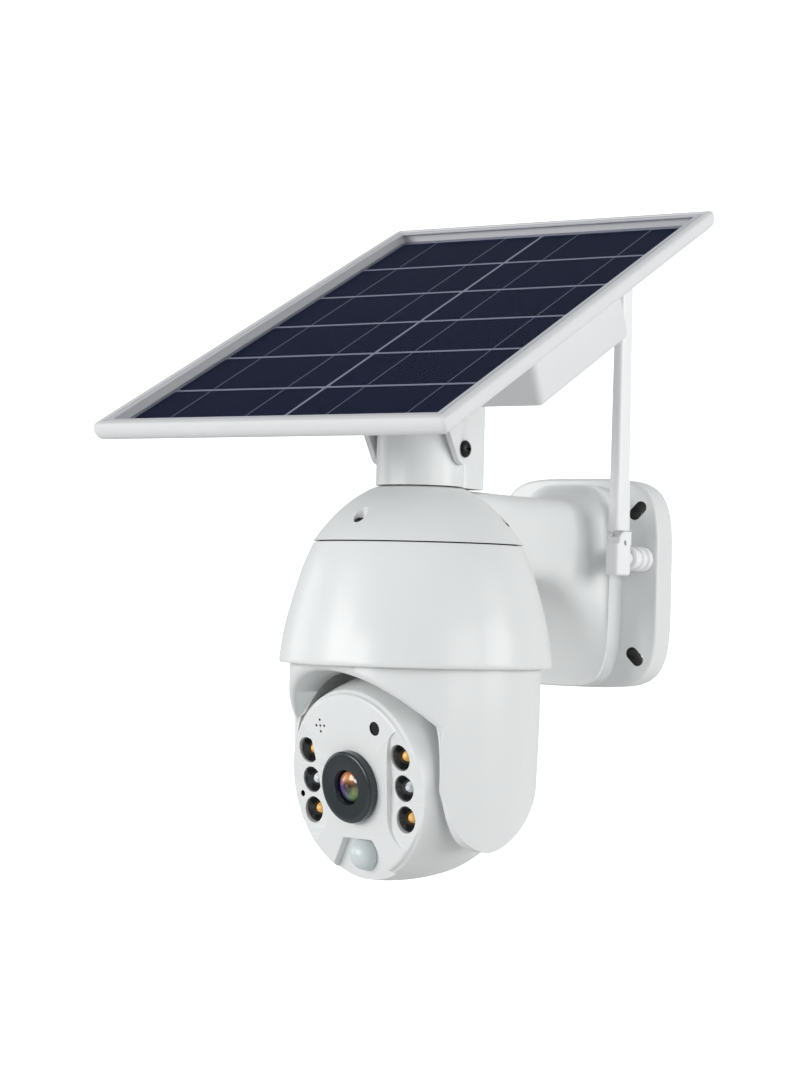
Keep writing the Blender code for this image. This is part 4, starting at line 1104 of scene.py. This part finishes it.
def two_faced_back():
    """Lavender-grey on the side that faces the cells, white underneath."""
    look = moulded("backing_sheet", (0.30, 0.31, 0.40), (0.26, 0.27, 0.36), 0.4)
    nodes, links = look.node_tree.nodes, look.node_tree.links
    height = value_node(nodes, 'ShaderNodeVectorMath', operation='DOT_PRODUCT')
    square = PANEL.to_3x3() @ Vector((0, 0, 1))
    height.inputs[1].default_value = square
    links.new(object_place(nodes), height.inputs[0])
    middle = (PANEL @ Vector((0, 0, GLASS_N - 5.2))).dot(square) * MM
    above = value_node(nodes, 'ShaderNodeMath', operation='GREATER_THAN')
    above.inputs[1].default_value = middle
    links.new(height.outputs["Value"], above.inputs[0])
    pick = value_node(nodes, 'ShaderNodeMix', data_type='RGBA')
    preset(pick, A=(0.80, 0.81, 0.81, 1))
    skin = next(node for node in nodes if node.type == 'GROUP')
    links.new(above.outputs[0], pick.inputs["Factor"])
    links.new(skin.outputs["Color"], pick.inputs["B"])
    links.new(pick.outputs["Result"], nodes["Principled BSDF"].inputs["Base Color"])
    return look


def circuit_look():
    """Green solder mask over copper tracks, drawn by a fine brick pattern, with tinned pads."""
    look, nodes, links, shader = new_look("circuit_green")
    place = object_place(nodes)
    tracks = nodes.new('ShaderNodeTexBrick')
    preset(tracks, Scale=160.0, Mortar_Size=0.06, Color1=(0.012, 0.10, 0.03, 1),
           Color2=(0.010, 0.075, 0.025, 1), Mortar=(0.03, 0.20, 0.06, 1))
    pads = nodes.new('ShaderNodeTexVoronoi')
    preset(pads, Scale=210.0)
    spot = value_node(nodes, 'ShaderNodeMath', operation='LESS_THAN')
    spot.inputs[1].default_value = 0.16
    mix = value_node(nodes, 'ShaderNodeMix', data_type='RGBA')
    preset(mix, B=(0.55, 0.5, 0.38, 1))
    links.new(place, tracks.inputs["Vector"])
    links.new(place, pads.inputs["Vector"])
    links.new(pads.outputs["Distance"], spot.inputs[0])
    links.new(spot.outputs[0], mix.inputs["Factor"])
    links.new(spot.outputs[0], shader.inputs["Metallic"])
    links.new(tracks.outputs["Color"], mix.inputs["A"])
    links.new(mix.outputs["Result"], shader.inputs["Base Color"])
    relief = nodes.new('ShaderNodeBump')
    preset(relief, Strength=0.2, Distance=0.0002)
    links.new(tracks.outputs["Fac"], relief.inputs["Height"])
    links.new(relief.outputs["Normal"], shader.inputs["Normal"])
    shader.inputs["Roughness"].default_value = 0.35
    return look


finish_nodes(solar_glass(), "panel_glass")
finish_nodes(two_faced_back(), "panel_back")
finish_nodes(circuit_look(), "main_board", "led_board", "camera_board", "charge_board")
STEEL = moulded("turned_steel", (0.56, 0.57, 0.59), (0.38, 0.39, 0.41), 0.22, 2400.0, 0.15, metallic=1.0)
ZINC = moulded("motor_zinc", (0.50, 0.51, 0.52), (0.34, 0.35, 0.37), 0.35, 1200.0, 0.2, metallic=1.0)
NYLON = moulded("gear_nylon", (0.72, 0.70, 0.62), (0.62, 0.60, 0.52), 0.45)
RUBBER = moulded("gasket_black", (0.014, 0.014, 0.015), (0.03, 0.03, 0.03), 0.7, 700.0, 0.3)
CHASSIS = moulded("chassis_white", (0.74, 0.75, 0.75), (0.68, 0.69, 0.69), 0.45)
WRAP = moulded("cell_wrap_blue", (0.03, 0.12, 0.28), (0.02, 0.09, 0.22), 0.25, 900.0, 0.08, coat=0.4)
MESH = moulded("speaker_mesh", (0.01, 0.01, 0.01), (0.05, 0.05, 0.05), 0.6, 900.0, 0.5)
SMOKED = moulded("sensor_black", (0.004, 0.004, 0.005), (0.008, 0.008, 0.01), 0.08, 600.0, 0.02, coat=0.8)
for finish, names in ((STEEL, ("tilt_shaft", "antenna_pin")), (ZINC, ("pan_motor", "tilt_motor")),
                      (NYLON, ("pan_gear", "pan_pinion")), (RUBBER, ("dome_gasket",)),
                      (CHASSIS, ("pan_chassis",)), (MESH, ("speaker",)), (SMOKED, ("sensor_window",)),
                      (WRAP, ("battery_cell_1", "battery_cell_2", "battery_cell_3"))):
    finish_nodes(finish, *names)

bpy.context.view_layer.update()
low, high = CAD_BOX
